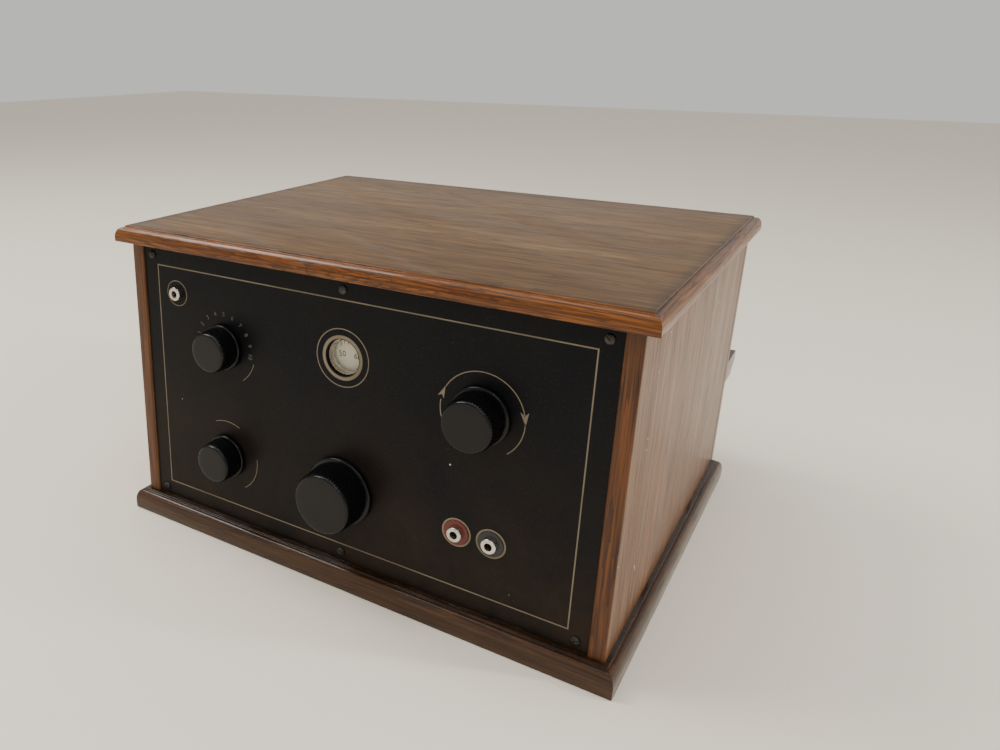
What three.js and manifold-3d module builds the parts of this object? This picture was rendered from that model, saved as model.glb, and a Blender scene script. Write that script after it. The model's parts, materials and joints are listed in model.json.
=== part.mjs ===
// A table-top battery valve receiver of the 1920s in an oak cabinet with a lift-up lid.
//
// Millimetres. X runs to the right of someone facing the front panel, Y to the back, Z up.
// The origin is on the table, under the middle of the cabinet body.

import * as THREE from "three";
import { mergeVertices } from "three/addons/utils/BufferGeometryUtils.js";
import Module from "manifold-3d";

const wasm = await Module();
wasm.setup();

// ---------------------------------------------------------------- driving sizes

const cabinet = {
  width: 318, sideDepth: 260, sideHeight: 176, sideThickness: 9, backThickness: 8, arris: 1.2,
};
const base = { thickness: 14.5, overhang: 7.2, rearOverhang: 3, land: 5.5 };
const lid = { thickness: 10, overhang: 7.4, clearance: 0.3, land: 2.8 };
const moulding = { ovolo: 3.6, quirkWidth: 1.1, quirkDepth: 1.2, arris: 0.6, steps: 5 };
const glueLine = 0.05;
const seatGap = 0.3;

const panel = { recess: 1.5, thickness: 5, sideGap: 0.1 };
const rail = { depth: 12, height: 13, rearMargin: 4 };
const screw = {
  headRadius: 2.7, headHeight: 1.3, domeRadius: 1.9, rimHeight: 0.5, slotWidth: 0.7, slotDepth: 0.65,
  shankRadius: 1.5, tipRadius: 0.6, tipLength: 1, taperLength: 3, length: 15,
  insetX: 7, insetTop: 6.8, insetBottom: 5.5,
};

const shaftRadius = 3;
const runningClearance = 0.1;
const fixedClearance = 0.05;
const knobStandOff = 0.6;
const collar = { radius: 5, thickness: 2 };

// How far a cutting tool runs past what it cuts, and a joined piece into its neighbour.
const overcut = 1;
const bite = 0.5;

const dialAxis = { x: 0, z: 111.8 };
const gear = {
  module: 1, wheelTeeth: 80, pinionTeeth: 20, pressureAngle: 20, addendum: 0.9, dedendum: 1.2, backlash: 0.3,
  thickness: 3, faceGap: 0.3, hubRadius: 8, pinionHubRadius: 6,
};
const dialScale = { radius: 42, thickness: 1, standOff: 2.9 };
const windowHole = { radius: 10.8, aboveDialAxis: 32.4 };
const bezel = { radius: 9.2, flangeRadius: 14, flangeThickness: 1.1, lipFront: 2, lipEase: 0.3, throat: 4.2 };

const condenser = {
  vaneRadius: 30, vaneThickness: 1, vanePitch: 5.5, rotorVanes: 5, vaneGap: 4, plateThickness: 2,
  plateHalfWidth: 41, plateBelow: 60, plateAbove: 38, hubLength: 3, hubGap: 1,
  pillarRadius: 3, pillarX: 36, pillarZ: 33, insulatorHalf: 16, insulatorHeight: 6, shaftTail: 4,
  statorInner: 7, statorOuter: 36, rodOrbit: 33.5, rodRadius: 1.7,
  scaleSpan: 180, scaleMax: 100, restReading: 55,
};

const tuningKnob = { flangeRadius: 21.3, faceRadius: 17.9, height: 21.2, flutes: 40 };
const smallKnob = { flangeRadius: 14.3, faceRadius: 11.8, height: 15.5, flutes: 28 };
const reactionKnob = { flangeRadius: 16.2, faceRadius: 13.4, height: 18.6, flutes: 32 };
const knobForm = {
  flangeThickness: 3.2, flangeEase: 0.7, flangeSlope: 1, grooveWidth: 1.2, grooveDepth: 1.4,
  fluteDepth: 0.55, gripProud: 0.6, taper: 0.95,
  faceHeight: 1.6, faceBevel: 1.1, faceStep: 0.8, boreDepth: 11,
};

const selector = {
  x: -86.3, z: 133.7, plateRadius: 27, studs: 10, studOrbit: 20.5, firstStud: 165.5, lastStud: -7.5, rest: 5,
};
const waveSwitch = {
  x: -86.3, z: 59.8, plateRadius: 24, studs: 2, studOrbit: 17.5, firstStud: 144, lastStud: 36, rest: 1,
};
const switchForm = {
  plateThickness: 3, behindPanel: 4, studRadius: 2, studHeight: 1.4, postRadius: 3,
  postInset: 14, postDrop: 9,
  armWidth: 6, armThickness: 1.2, armTail: 5, armPastStud: 2.5, hubRadius: 5.5, hubLength: 3, shaftTail: 4,
};

const reaction = {
  x: 84.1, z: 131.3, behindPanel: 56, coilRadius: 24, coilWall: 3, coilLength: 20,
  flange: 2, windingDepth: 1.2, shaftTail: 3,
};
const former = { outerRadius: 36, wall: 2.5, height: 160 };
const winding = { bottom: 26, top: 150, thickness: 1.3, shaftGap: 2 };

const antennaSocket = { x: -123.4, z: 161.4 };
const phoneSockets = { x: 84, z: 59.4, spacing: 20 };
const socket = {
  headRadius: 4.4, headHeight: 3.1, chamfer: 0.8, tubeRadius: 3, boreRadius: 2.1, tail: 10,
  nutRadius: 4.8, nutHeight: 2.5, nutHoleGap: 1.5,
};
const bush = { radius: 7.3, thickness: 0.8, chamfer: 0.3 };

const ledge = { top: 92, depth: 30, thickness: 16, frontFace: 8, chamfer: 12, arris: 0.8 };
const terminals = { count: 4, spacing: 44, height: 22, thickness: 4, endMargin: 12 };

const hinge = {
  x: 105, length: 42, leafDepth: 14, leafThickness: 1.2, knuckleRadius: 2.6, knuckleLength: 18,
  pinRadius: 1, pinInset: 1, standOff: 0.4, endPlay: 0.3,
};

const valve = {
  holderRadius: 22, holderHeight: 11, holderEase: 2, baseRadius: 17, baseHeight: 28, baseEase: 1.5,
  cupDepth: 6, cupGap: 0.5, lipHeight: 2, lipEase: 0.8,
  pinRadius: 1.6, pinLength: 9, pinOrbit: 8, pinHoleGap: 0.6,
  bulbRadius: 24, bulbHeight: 62, neckRadius: 14, neckHeight: 12, pipHeight: 5, pipRadius: 3.2, pipTip: 2,
  places: [[-88, 25], [-15, 45]],
};
const transformer = {
  x: 72, y: 60, width: 52, height: 44, depth: 20, limb: 10, windowWidth: 11, windingDepth: 34,
};
const gridCondenser = {
  x: -112, y: -48, width: 34, depth: 16, height: 7,
  clipHeight: 9, clipThickness: 1.4, clipHalf: 4, clipInset: 2, leakRadius: 2.6, leakDrop: 3,
};

// ---------------------------------------------------------------- places that follow from them

const frontY = -(cabinet.sideDepth + cabinet.backThickness) / 2;
const sideRearY = frontY + cabinet.sideDepth;
const backY = sideRearY + cabinet.backThickness;
const bodyTop = base.thickness + cabinet.sideHeight;
const innerHalfWidth = cabinet.width / 2 - cabinet.sideThickness;
const panelFrontY = frontY + panel.recess;
const panelRear = -panel.thickness;
const windowCentre = { x: dialAxis.x, z: dialAxis.z + windowHole.aboveDialAxis };
const pinionDrop = (gear.module * (gear.wheelTeeth + gear.pinionTeeth)) / 2;
const tuningAxis = { x: dialAxis.x, z: dialAxis.z - pinionDrop };
const hingeAxis = { y: sideRearY + hinge.knuckleRadius + hinge.standOff, z: bodyTop + lid.clearance / 2 };

// Distances behind the panel's front face are negative, as on its drawing.
const scaleFront = panelRear - dialScale.standOff;
const wheelFront = scaleFront - dialScale.thickness - fixedClearance;
const wheelRear = wheelFront - gear.thickness;
const framePlateFront = wheelRear - condenser.hubLength - condenser.hubGap;
const framePlateRear = framePlateFront - condenser.plateThickness;
const firstVane = framePlateRear - condenser.vaneGap;
const lastStator = firstVane - condenser.rotorVanes * condenser.vanePitch - condenser.vaneThickness;
const endPlateFront = lastStator - condenser.vaneGap;
const endPlateRear = endPlateFront - condenser.plateThickness;

// Flat sides that stand for a small circle, and steps in a quarter of a large one.
const roundSides = 16;
const arcSteps = 5;

// ---------------------------------------------------------------- solids

function toSolid(geometry) {
  const bare = geometry.clone();
  bare.deleteAttribute("normal");
  bare.deleteAttribute("uv");
  const merged = mergeVertices(bare, 1e-4);
  const vertProperties = new Float32Array(merged.attributes.position.array);
  const triVerts = new Uint32Array(merged.index.array);
  return new wasm.Manifold(new wasm.Mesh({ numProp: 3, vertProperties, triVerts }));
}

function toGeometry(solid) {
  const mesh = solid.getMesh();
  const geometry = new THREE.BufferGeometry();
  geometry.setAttribute("position", new THREE.BufferAttribute(mesh.vertProperties, 3));
  geometry.setIndex(new THREE.BufferAttribute(mesh.triVerts, 1));
  geometry.computeVertexNormals();
  return geometry;
}

function join(...pieces) {
  return toGeometry(pieces.map(toSolid).reduce((whole, piece) => whole.add(piece)));
}

function cut(piece, ...tools) {
  return toGeometry(tools.map(toSolid).reduce((rest, tool) => rest.subtract(tool), toSolid(piece)));
}

function common(first, second) {
  return toGeometry(toSolid(first).intersect(toSolid(second)));
}

// A round bar along Z.
function rod(radius, low, high, { x = 0, y = 0, sides = roundSides } = {}) {
  const geometry = new THREE.CylinderGeometry(radius, radius, high - low, sides);
  geometry.rotateX(Math.PI / 2);
  geometry.translate(x, y, (low + high) / 2);
  return geometry;
}

// A box given by its lowest and highest corners.
function block([x0, y0, z0], [x1, y1, z1]) {
  const geometry = new THREE.BoxGeometry(x1 - x0, y1 - y0, z1 - z0);
  geometry.translate((x0 + x1) / 2, (y0 + y1) / 2, (z0 + z1) / 2);
  return geometry;
}

// A solid turned about Z from [radius, z] points listed upwards on the outside.
function turned(points, sides = roundSides) {
  const profile = points.map(([radius, z]) => new THREE.Vector2(radius, z));
  return new THREE.LatheGeometry(profile, sides).rotateX(Math.PI / 2);
}

// A flat piece of the drawn shape, from z = low to z = high.
function plate(shape, low, high, curveSegments = 6) {
  const depth = high - low;
  const geometry = new THREE.ExtrudeGeometry(shape, { depth, bevelEnabled: false, curveSegments });
  return geometry.translate(0, 0, low);
}

function polygon(points) {
  return new THREE.Shape(points.map(([x, y]) => new THREE.Vector2(x, y)));
}

function rectangle(x0, y0, x1, y1) {
  return polygon([[x0, y0], [x1, y0], [x1, y1], [x0, y1]]);
}

function roundHole(shape, radius, x, y, sides = roundSides) {
  const points = Array.from({ length: sides }, (_, index) => {
    const [u, v] = polar(radius, (index * 360) / sides);
    return new THREE.Vector2(x + u, y + v);
  });
  shape.holes.push(new THREE.Path(points));
}

// Stands a flat drawing up: its X runs right, its Y up, and its Z comes forward.
function facingFront(geometry) {
  return geometry.rotateX(Math.PI / 2);
}

// Stands a side-view drawing up: its X runs to the back, its Y up, and its Z to the right.
function facingSide(geometry) {
  const back = new THREE.Vector3(0, 1, 0);
  const up = new THREE.Vector3(0, 0, 1);
  const right = new THREE.Vector3(1, 0, 0);
  return geometry.applyMatrix4(new THREE.Matrix4().makeBasis(back, up, right));
}

function degrees(angle) {
  return (angle * Math.PI) / 180;
}

function polar(radius, angle) {
  return [radius * Math.cos(degrees(angle)), radius * Math.sin(degrees(angle))];
}

// ---------------------------------------------------------------- materials

function finish(color, roughness, metalness) {
  return new THREE.MeshStandardMaterial({ color, roughness, metalness });
}

const oak = () => finish(0x7a4a24, 0.45, 0);
const darkOak = () => finish(0x4b2a15, 0.4, 0);
const softwood = () => finish(0xb08a58, 0.7, 0);
const ebonite = () => finish(0x16161a, 0.35, 0);
const bakelite = () => finish(0x0d0d10, 0.25, 0);
const nickel = () => finish(0xb9b6ad, 0.3, 1);
const brass = () => finish(0xa98545, 0.35, 1);
const aluminium = () => finish(0xb4b6b8, 0.4, 1);
const steel = () => finish(0x3c3a38, 0.5, 1);
const celluloid = () => finish(0xe6dfc4, 0.5, 0);
const card = () => finish(0x8a6236, 0.8, 0);
const greenSilk = () => finish(0x3c5a34, 0.85, 0);
const redEbonite = () => finish(0x6e1f1a, 0.4, 0);
const glass = () => finish(0xcfd8d8, 0.08, 0);

// ---------------------------------------------------------------- assembly

const receiver = new THREE.Group();

function add(name, geometry, material, parent = receiver) {
  const mesh = new THREE.Mesh(geometry, material);
  mesh.name = name;
  parent.add(mesh);
  return mesh;
}

// A group for what is drawn on the panel at one place, Z coming forward from its front face.
function onPanel(place) {
  const group = new THREE.Group();
  group.position.set(place.x, panelFrontY, place.z);
  group.rotation.x = Math.PI / 2;
  receiver.add(group);
  return group;
}

// ---------------------------------------------------------------- cabinet

// Points [inset, z] up one moulded edge: a land, an ovolo, a quirk and the flat top.
function mouldedEdge(height, land) {
  const rise = height - moulding.quirkDepth - land;
  const points = [[moulding.arris, 0], [0, moulding.arris]];
  for (let step = 0; step <= moulding.steps; step += 1) {
    const angle = (step / moulding.steps) * (Math.PI / 2);
    points.push([moulding.ovolo * (1 - Math.cos(angle)), land + rise * Math.sin(angle)]);
  }
  const flat = moulding.ovolo + moulding.quirkWidth;
  points.push([flat, height - moulding.quirkDepth], [flat, height]);
  return points;
}

function mouldedSection(low, high, bottom, height, land) {
  const edge = mouldedEdge(height, land);
  const rising = edge.map(([inset, z]) => [high - inset, bottom + z]);
  const falling = edge.map(([inset, z]) => [low + inset, bottom + z]).reverse();
  return polygon([...rising, ...falling]);
}

// A board with the moulding mitred round all four edges.
function mouldedBoard({ left, right, front, rear, bottom, height, land }) {
  const frontView = mouldedSection(left, right, bottom, height, land);
  const sideView = mouldedSection(front, rear, bottom, height, land);
  return common(
    facingFront(plate(frontView, -rear - overcut, -front + overcut)),
    facingSide(plate(sideView, left - overcut, right + overcut)),
  );
}

function baseBoard() {
  return mouldedBoard({
    left: -cabinet.width / 2 - base.overhang,
    right: cabinet.width / 2 + base.overhang,
    front: frontY - base.overhang,
    rear: backY + base.rearOverhang,
    bottom: 0,
    height: base.thickness,
    land: base.land,
  });
}

// An upright board with eased corners.
function uprightBoard(x0, y0, x1, y1, bottom, top) {
  const r = cabinet.arris;
  const outline = new THREE.Shape();
  outline.absarc(x1 - r, y1 - r, r, 0, Math.PI / 2);
  outline.absarc(x0 + r, y1 - r, r, Math.PI / 2, Math.PI);
  outline.absarc(x0 + r, y0 + r, r, Math.PI, 1.5 * Math.PI);
  outline.absarc(x1 - r, y0 + r, r, 1.5 * Math.PI, 2 * Math.PI);
  outline.closePath();
  return plate(outline, bottom, top, 4);
}

function sideBoard(side) {
  const outer = (side * cabinet.width) / 2;
  const inner = side * innerHalfWidth;
  const [x0, x1] = [Math.min(outer, inner), Math.max(outer, inner)];
  return uprightBoard(x0, frontY, x1, sideRearY, base.thickness + glueLine, bodyTop);
}

function terminalXs() {
  const first = -((terminals.count - 1) * terminals.spacing) / 2;
  return Array.from({ length: terminals.count }, (_, index) => first + index * terminals.spacing);
}

const terminalZ = ledge.top + glueLine + terminals.height / 2;

// The back is planted on behind the sides, a little lower than they are, to clear the hinge knuckles.
function backBoard() {
  const top = hingeAxis.z - hinge.knuckleRadius - hinge.standOff;
  const half = cabinet.width / 2;
  const outline = rectangle(-half, base.thickness + glueLine, half, top);
  terminalXs().forEach((x) => roundHole(outline, socket.nutRadius + socket.nutHoleGap, x, terminalZ));
  return facingFront(plate(outline, -backY, -sideRearY - glueLine));
}

const railHalfWidth = innerHalfWidth - glueLine;
const topScrewZ = bodyTop - screw.insetTop;
const bottomScrewZ = base.thickness + screw.insetBottom;
const screwXs = [-innerHalfWidth + screw.insetX, 0, innerHalfWidth - screw.insetX];

function frontRail(bottom, top, screwZ) {
  const front = panelRear - glueLine;
  const outline = rectangle(-railHalfWidth, bottom, railHalfWidth, top);
  screwXs.forEach((x) => roundHole(outline, screw.shankRadius + fixedClearance, x, screwZ));
  const geometry = facingFront(plate(outline, front - rail.depth, front));
  return geometry.translate(0, panelFrontY, 0);
}

// The strip between the sides that carries the hinges, let in for their leaves.
function rearRail() {
  const front = sideRearY - hinge.leafDepth - rail.rearMargin;
  const strip = block([-railHalfWidth, front, bodyTop - rail.height], [railHalfWidth, sideRearY, bodyTop]);
  const depth = hinge.leafThickness + glueLine;
  return cut(strip, ...[-1, 1].map((side) => leafPocket(side, bodyTop - depth, bodyTop + overcut)));
}

function leafPocket(side, low, high) {
  const half = hinge.length / 2 + fixedClearance;
  const x = side * hinge.x;
  const front = hingeAxis.y - hinge.knuckleRadius - hinge.leafDepth - fixedClearance;
  return block([x - half, front, low], [x + half, sideRearY + overcut, high]);
}

function lidBoard() {
  const bottom = bodyTop + lid.clearance;
  const board = mouldedBoard({
    left: -cabinet.width / 2 - lid.overhang,
    right: cabinet.width / 2 + lid.overhang,
    front: frontY - lid.overhang,
    rear: sideRearY,
    bottom,
    height: lid.thickness,
    land: lid.land,
  });
  const depth = hinge.leafThickness + glueLine;
  return cut(board, ...[-1, 1].map((side) => leafPocket(side, bottom - overcut, bottom + depth)));
}

// ---------------------------------------------------------------- hinges

// A bar along X on the hinge axis.
function hingeBar(radius, x0, x1) {
  const geometry = new THREE.CylinderGeometry(radius, radius, x1 - x0, roundSides);
  geometry.rotateZ(Math.PI / 2);
  return geometry.translate((x0 + x1) / 2, hingeAxis.y, hingeAxis.z);
}

const knuckleHalf = hinge.knuckleLength / 2;
const leafFrontY = hingeAxis.y - hinge.knuckleRadius - hinge.leafDepth;
const leafStopY = hingeAxis.y - hinge.knuckleRadius - seatGap;

// The cabinet's leaf with its two outer knuckles and the pin they hold.
function lowerLeaf(side) {
  const x = side * hinge.x;
  const half = hinge.length / 2;
  const split = knuckleHalf + hinge.endPlay;
  const leafBottom = bodyTop - hinge.leafThickness;
  const pieces = [
    block([x - half, leafFrontY, leafBottom], [x + half, leafStopY, bodyTop]),
    block([x - half, leafStopY - bite, leafBottom], [x - split, hingeAxis.y, bodyTop]),
    block([x + split, leafStopY - bite, leafBottom], [x + half, hingeAxis.y, bodyTop]),
    hingeBar(hinge.knuckleRadius, x - half, x - split),
    hingeBar(hinge.knuckleRadius, x + split, x + half),
    hingeBar(hinge.pinRadius, x - half + hinge.pinInset, x + half - hinge.pinInset),
  ];
  return join(...pieces);
}

// The lid's leaf with the middle knuckle.
function upperLeaf(side) {
  const x = side * hinge.x;
  const half = hinge.length / 2;
  const leafBottom = bodyTop + lid.clearance;
  const leafTop = leafBottom + hinge.leafThickness;
  const whole = join(
    block([x - half, leafFrontY, leafBottom], [x + half, leafStopY, leafTop]),
    block([x - knuckleHalf, leafStopY - bite, leafBottom], [x + knuckleHalf, hingeAxis.y, leafTop]),
    hingeBar(hinge.knuckleRadius, x - knuckleHalf, x + knuckleHalf),
  );
  return cut(whole, hingeBar(hinge.pinRadius + runningClearance, x - half, x + half));
}

// ---------------------------------------------------------------- panel and what is screwed to it

const phoneSocketXs = [-1, 1].map((side) => phoneSockets.x + (side * phoneSockets.spacing) / 2);

function frontPanel() {
  const half = innerHalfWidth - panel.sideGap;
  const outline = rectangle(-half, base.thickness + glueLine, half, bodyTop - glueLine);
  const shaftHole = shaftRadius + seatGap;
  const socketHole = socket.tubeRadius + runningClearance;
  roundHole(outline, windowHole.radius, windowCentre.x, windowCentre.z, 40);
  [tuningAxis, selector, waveSwitch, reaction].forEach(({ x, z }) => roundHole(outline, shaftHole, x, z));
  roundHole(outline, socketHole, antennaSocket.x, antennaSocket.z);
  phoneSocketXs.forEach((x) => roundHole(outline, socketHole, x, phoneSockets.z));
  screwXs.forEach((x) => {
    roundHole(outline, screw.shankRadius + seatGap, x, topScrewZ);
    roundHole(outline, screw.shankRadius + seatGap, x, bottomScrewZ);
  });
  return facingFront(plate(outline, panelRear, 0)).translate(0, panelFrontY, 0);
}

// A domed wood screw with a slotted head.
function panelScrew() {
  const { headRadius, headHeight, domeRadius, rimHeight, shankRadius, length } = screw;
  const { tipRadius, tipLength, taperLength, slotWidth, slotDepth } = screw;
  const seat = fixedClearance;
  const top = seat + headHeight;
  const body = turned([
    [0, -length], [tipRadius, tipLength - length], [shankRadius, taperLength - length], [shankRadius, seat],
    [headRadius, seat], [headRadius, seat + rimHeight], [domeRadius, top - 0.1], [0, top],
  ], 12);
  const [reach, half] = [headRadius + overcut, slotWidth / 2];
  return cut(body, block([-reach, -half, top - slotDepth], [reach, half, top + overcut]));
}

// The nickel ring that lines the back of the window hole.
function windowBezel() {
  const outer = windowHole.radius - runningClearance;
  const { radius, flangeRadius, flangeThickness, lipFront, lipEase, throat } = bezel;
  const flangeFront = panelRear - glueLine;
  const flangeRear = flangeFront - flangeThickness;
  return turned([
    [radius, flangeRear], [flangeRadius, flangeRear], [flangeRadius, flangeFront], [outer, flangeFront],
    [outer, -lipFront - lipEase], [outer - lipEase, -lipFront], [radius, -throat], [radius, flangeRear],
  ], 40);
}

// A 4 mm plug socket: collar, tube and back nut, for a board of the given thickness.
function plugSocket(seat, boardBack) {
  const { headRadius, headHeight, chamfer, tubeRadius, boreRadius, tail, nutRadius, nutHeight } = socket;
  const top = seat + headHeight;
  const bottom = boardBack - tail;
  const body = turned([
    [0, bottom], [tubeRadius, bottom], [tubeRadius, seat], [headRadius, seat],
    [headRadius, top - chamfer], [headRadius - chamfer, top], [0, top],
  ]);
  const nutTop = boardBack - fixedClearance;
  const nut = rod(nutRadius, nutTop - nutHeight, nutTop, { sides: 6 });
  return cut(join(body, nut), rod(boreRadius, bottom - overcut, top + overcut));
}

function socketBush() {
  const inner = socket.tubeRadius + runningClearance;
  const { radius, chamfer } = bush;
  const [low, high] = [fixedClearance, bush.thickness];
  return turned([
    [inner, low], [radius, low], [radius, high - chamfer], [radius - chamfer, high],
    [inner, high], [inner, low],
  ], 24);
}

// ---------------------------------------------------------------- knobs and shafts

function flutedOutline(radius, count) {
  const points = [];
  for (let index = 0; index < 2 * count; index += 1) {
    const reach = index % 2 === 0 ? radius : radius - knobForm.fluteDepth;
    points.push(polar(reach, (index * 180) / count));
  }
  return polygon(points);
}

// Draws the top of a straight extrusion in to the given share of its width.
function tapered(geometry, high, share) {
  const place = geometry.attributes.position;
  for (let index = 0; index < place.count; index += 1) {
    if (place.getZ(index) > high - fixedClearance) {
      place.setXY(index, place.getX(index) * share, place.getY(index) * share);
    }
  }
  return geometry;
}

// A knob with a smooth flange, a groove and a fluted, slightly tapered grip.
function knob({ flangeRadius, faceRadius, height, flutes }) {
  const { flangeThickness, flangeEase, flangeSlope, grooveWidth, grooveDepth, taper } = knobForm;
  const { gripProud, faceHeight, faceBevel, faceStep, boreDepth } = knobForm;
  const low = knobStandOff;
  const high = low + height;
  const flangeTop = low + flangeThickness;
  const gripRadius = faceRadius / taper + gripProud;
  const gripHigh = high - faceHeight;
  const core = turned([
    [0, low], [flangeRadius - flangeEase, low], [flangeRadius, low + flangeEase],
    [flangeRadius, flangeTop - flangeEase], [flangeRadius - flangeSlope, flangeTop],
    [gripRadius - grooveDepth, flangeTop], [gripRadius * taper - grooveDepth, gripHigh],
    [faceRadius - faceBevel / 2, gripHigh + faceStep], [faceRadius - faceBevel, high], [0, high],
  ], 28);
  const fluted = plate(flutedOutline(gripRadius, flutes), flangeTop + grooveWidth, gripHigh);
  const bore = rod(shaftRadius + fixedClearance, low - overcut, low + boreDepth);
  return cut(join(core, tapered(fluted, gripHigh, taper)), bore);
}

// Shafts end a little short of the bottom of the knob's bore.
const shaftFront = knobStandOff + knobForm.boreDepth - 1;

// A collar on a shaft, running against a plate that lies in front of it.
function collarBehind(plateRear) {
  const front = plateRear - seatGap;
  return rod(collar.radius, front - collar.thickness, front);
}

// The same, against a plate that lies behind it.
function collarInFrontOf(plateFront) {
  const rear = plateFront + seatGap;
  return rod(collar.radius, rear, rear + collar.thickness);
}

// ---------------------------------------------------------------- tuning drive and condenser

// Outline of a spur gear with involute flanks.
function gearOutline(teeth, startAngle, flankPoints) {
  const pitchRadius = (gear.module * teeth) / 2;
  const baseRadius = pitchRadius * Math.cos(degrees(gear.pressureAngle));
  const tipRadius = pitchRadius + gear.module * gear.addendum;
  const rootRadius = pitchRadius - gear.module * gear.dedendum;
  const involute = (radius) => {
    const ratio = Math.sqrt(Math.max((radius / baseRadius) ** 2 - 1, 0));
    return ratio - Math.atan(ratio);
  };
  const halfTooth = (Math.PI * gear.module / 2 - gear.backlash) / 2 / pitchRadius;
  const halfAngle = (radius) => halfTooth + involute(pitchRadius) - involute(radius);
  const flank = Array.from({ length: flankPoints }, (_, step) => (
    rootRadius + ((tipRadius - rootRadius) * step) / (flankPoints - 1)
  ));
  const points = [];
  for (let tooth = 0; tooth < teeth; tooth += 1) {
    const middle = degrees(startAngle) + (tooth * 2 * Math.PI) / teeth;
    const place = (radius, angle) => [radius * Math.cos(angle), radius * Math.sin(angle)];
    flank.forEach((radius) => points.push(place(radius, middle - halfAngle(radius))));
    [...flank].reverse().forEach((radius) => points.push(place(radius, middle + halfAngle(radius))));
  }
  return polygon(points);
}

// A tooth of the wheel points straight down, into a gap of the pinion.
function dialWheel() {
  const rim = plate(gearOutline(gear.wheelTeeth, -90, 2), wheelRear, wheelFront);
  const hubRear = wheelRear - condenser.hubLength;
  const hub = rod(gear.hubRadius, hubRear, wheelRear + bite);
  const bore = rod(shaftRadius + fixedClearance, hubRear - overcut, wheelFront + overcut);
  return cut(join(rim, hub), bore);
}

function dialScaleDisc() {
  const { radius, thickness } = dialScale;
  const bore = shaftRadius + fixedClearance;
  const [low, high] = [scaleFront - thickness, scaleFront];
  return turned([[bore, low], [radius, low], [radius, high], [bore, high], [bore, low]], 48);
}

function tuningShaft() {
  const pinionAngle = 90 + 180 / gear.pinionTeeth;
  const [pinionLow, pinionHigh] = [wheelRear + gear.faceGap, wheelFront - gear.faceGap];
  return join(
    rod(shaftRadius, framePlateRear - condenser.shaftTail, shaftFront),
    plate(gearOutline(gear.pinionTeeth, pinionAngle, 3), pinionLow, pinionHigh),
    rod(gear.pinionHubRadius, framePlateFront + seatGap, pinionLow + bite),
    collarBehind(framePlateRear),
  );
}

// Half discs on one shaft. Fully in mesh at the top of the scale, they then hang straight down.
function condenserRotor() {
  const { vaneRadius, vanePitch, vaneThickness, rotorVanes, scaleSpan, scaleMax, restReading } = condenser;
  const perDivision = scaleSpan / scaleMax;
  const direction = -90 - (scaleMax - restReading) * perDivision;
  const outline = new THREE.Shape();
  outline.absarc(0, 0, vaneRadius, degrees(direction - 90), degrees(direction + 90));
  outline.closePath();
  const vanes = Array.from({ length: rotorVanes }, (_, index) => {
    const front = firstVane - (index + 0.5) * vanePitch;
    return plate(outline, front - vaneThickness, front, arcSteps);
  });
  const spindle = rod(shaftRadius, endPlateRear - condenser.shaftTail, scaleFront + bite);
  const core = rod(collar.radius, lastStator + vaneThickness, firstVane - vaneThickness);
  return join(spindle, core, collarBehind(framePlateRear), collarInFrontOf(endPlateFront), ...vanes);
}

// Half rings below the shaft, held on three rods.
function condenserStator() {
  const { vanePitch, vaneThickness, rotorVanes, statorInner, statorOuter, rodOrbit, rodRadius } = condenser;
  const outline = new THREE.Shape();
  outline.absarc(0, 0, statorOuter, Math.PI, 2 * Math.PI, false);
  outline.absarc(0, 0, statorInner, 2 * Math.PI, Math.PI, true);
  outline.closePath();
  const plates = Array.from({ length: rotorVanes + 1 }, (_, index) => {
    const front = firstVane - index * vanePitch;
    return plate(outline, front - vaneThickness, front, arcSteps);
  });
  const rods = [-160, -90, -20].map((angle) => {
    const [x, y] = polar(rodOrbit, angle);
    return rod(rodRadius, lastStator - vaneThickness, firstVane + vaneThickness, { x, y, sides: 8 });
  });
  return join(...plates, ...rods);
}

// The bar that holds the stator off the metal frame.
function statorInsulator() {
  const { statorOuter, insulatorHalf, insulatorHeight } = condenser;
  const top = -statorOuter - seatGap;
  const low = [-insulatorHalf, top - insulatorHeight, endPlateFront + seatGap];
  return block(low, [insulatorHalf, top, framePlateRear - seatGap]);
}

function condenserFrame() {
  const { plateHalfWidth, plateAbove, plateBelow, pillarRadius, pillarX, pillarZ } = condenser;
  const bearing = shaftRadius + runningClearance;
  const front = rectangle(-plateHalfWidth, -plateBelow, plateHalfWidth, plateAbove);
  roundHole(front, bearing, 0, 0);
  roundHole(front, bearing, 0, -pinionDrop);
  const rear = rectangle(-plateHalfWidth, -plateAbove, plateHalfWidth, plateAbove);
  roundHole(rear, bearing, 0, 0);
  const pillars = [[1, 1], [1, -1], [-1, 1], [-1, -1]].map(([sideX, sideZ]) => {
    const centre = { x: sideX * pillarX, y: sideZ * pillarZ, sides: 10 };
    return rod(pillarRadius, endPlateRear, panelRear - seatGap, centre);
  });
  return join(
    plate(front, framePlateRear, framePlateFront),
    plate(rear, endPlateRear, endPlateFront),
    ...pillars,
  );
}

// ---------------------------------------------------------------- switches

const switchPlateFront = panelRear - switchForm.behindPanel;
const switchPlateRear = switchPlateFront - switchForm.plateThickness;
const armFront = switchPlateRear - switchForm.studHeight - seatGap;

function studAngle({ studs, firstStud, lastStud }, index) {
  return firstStud + ((lastStud - firstStud) * index) / (studs - 1);
}

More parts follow.
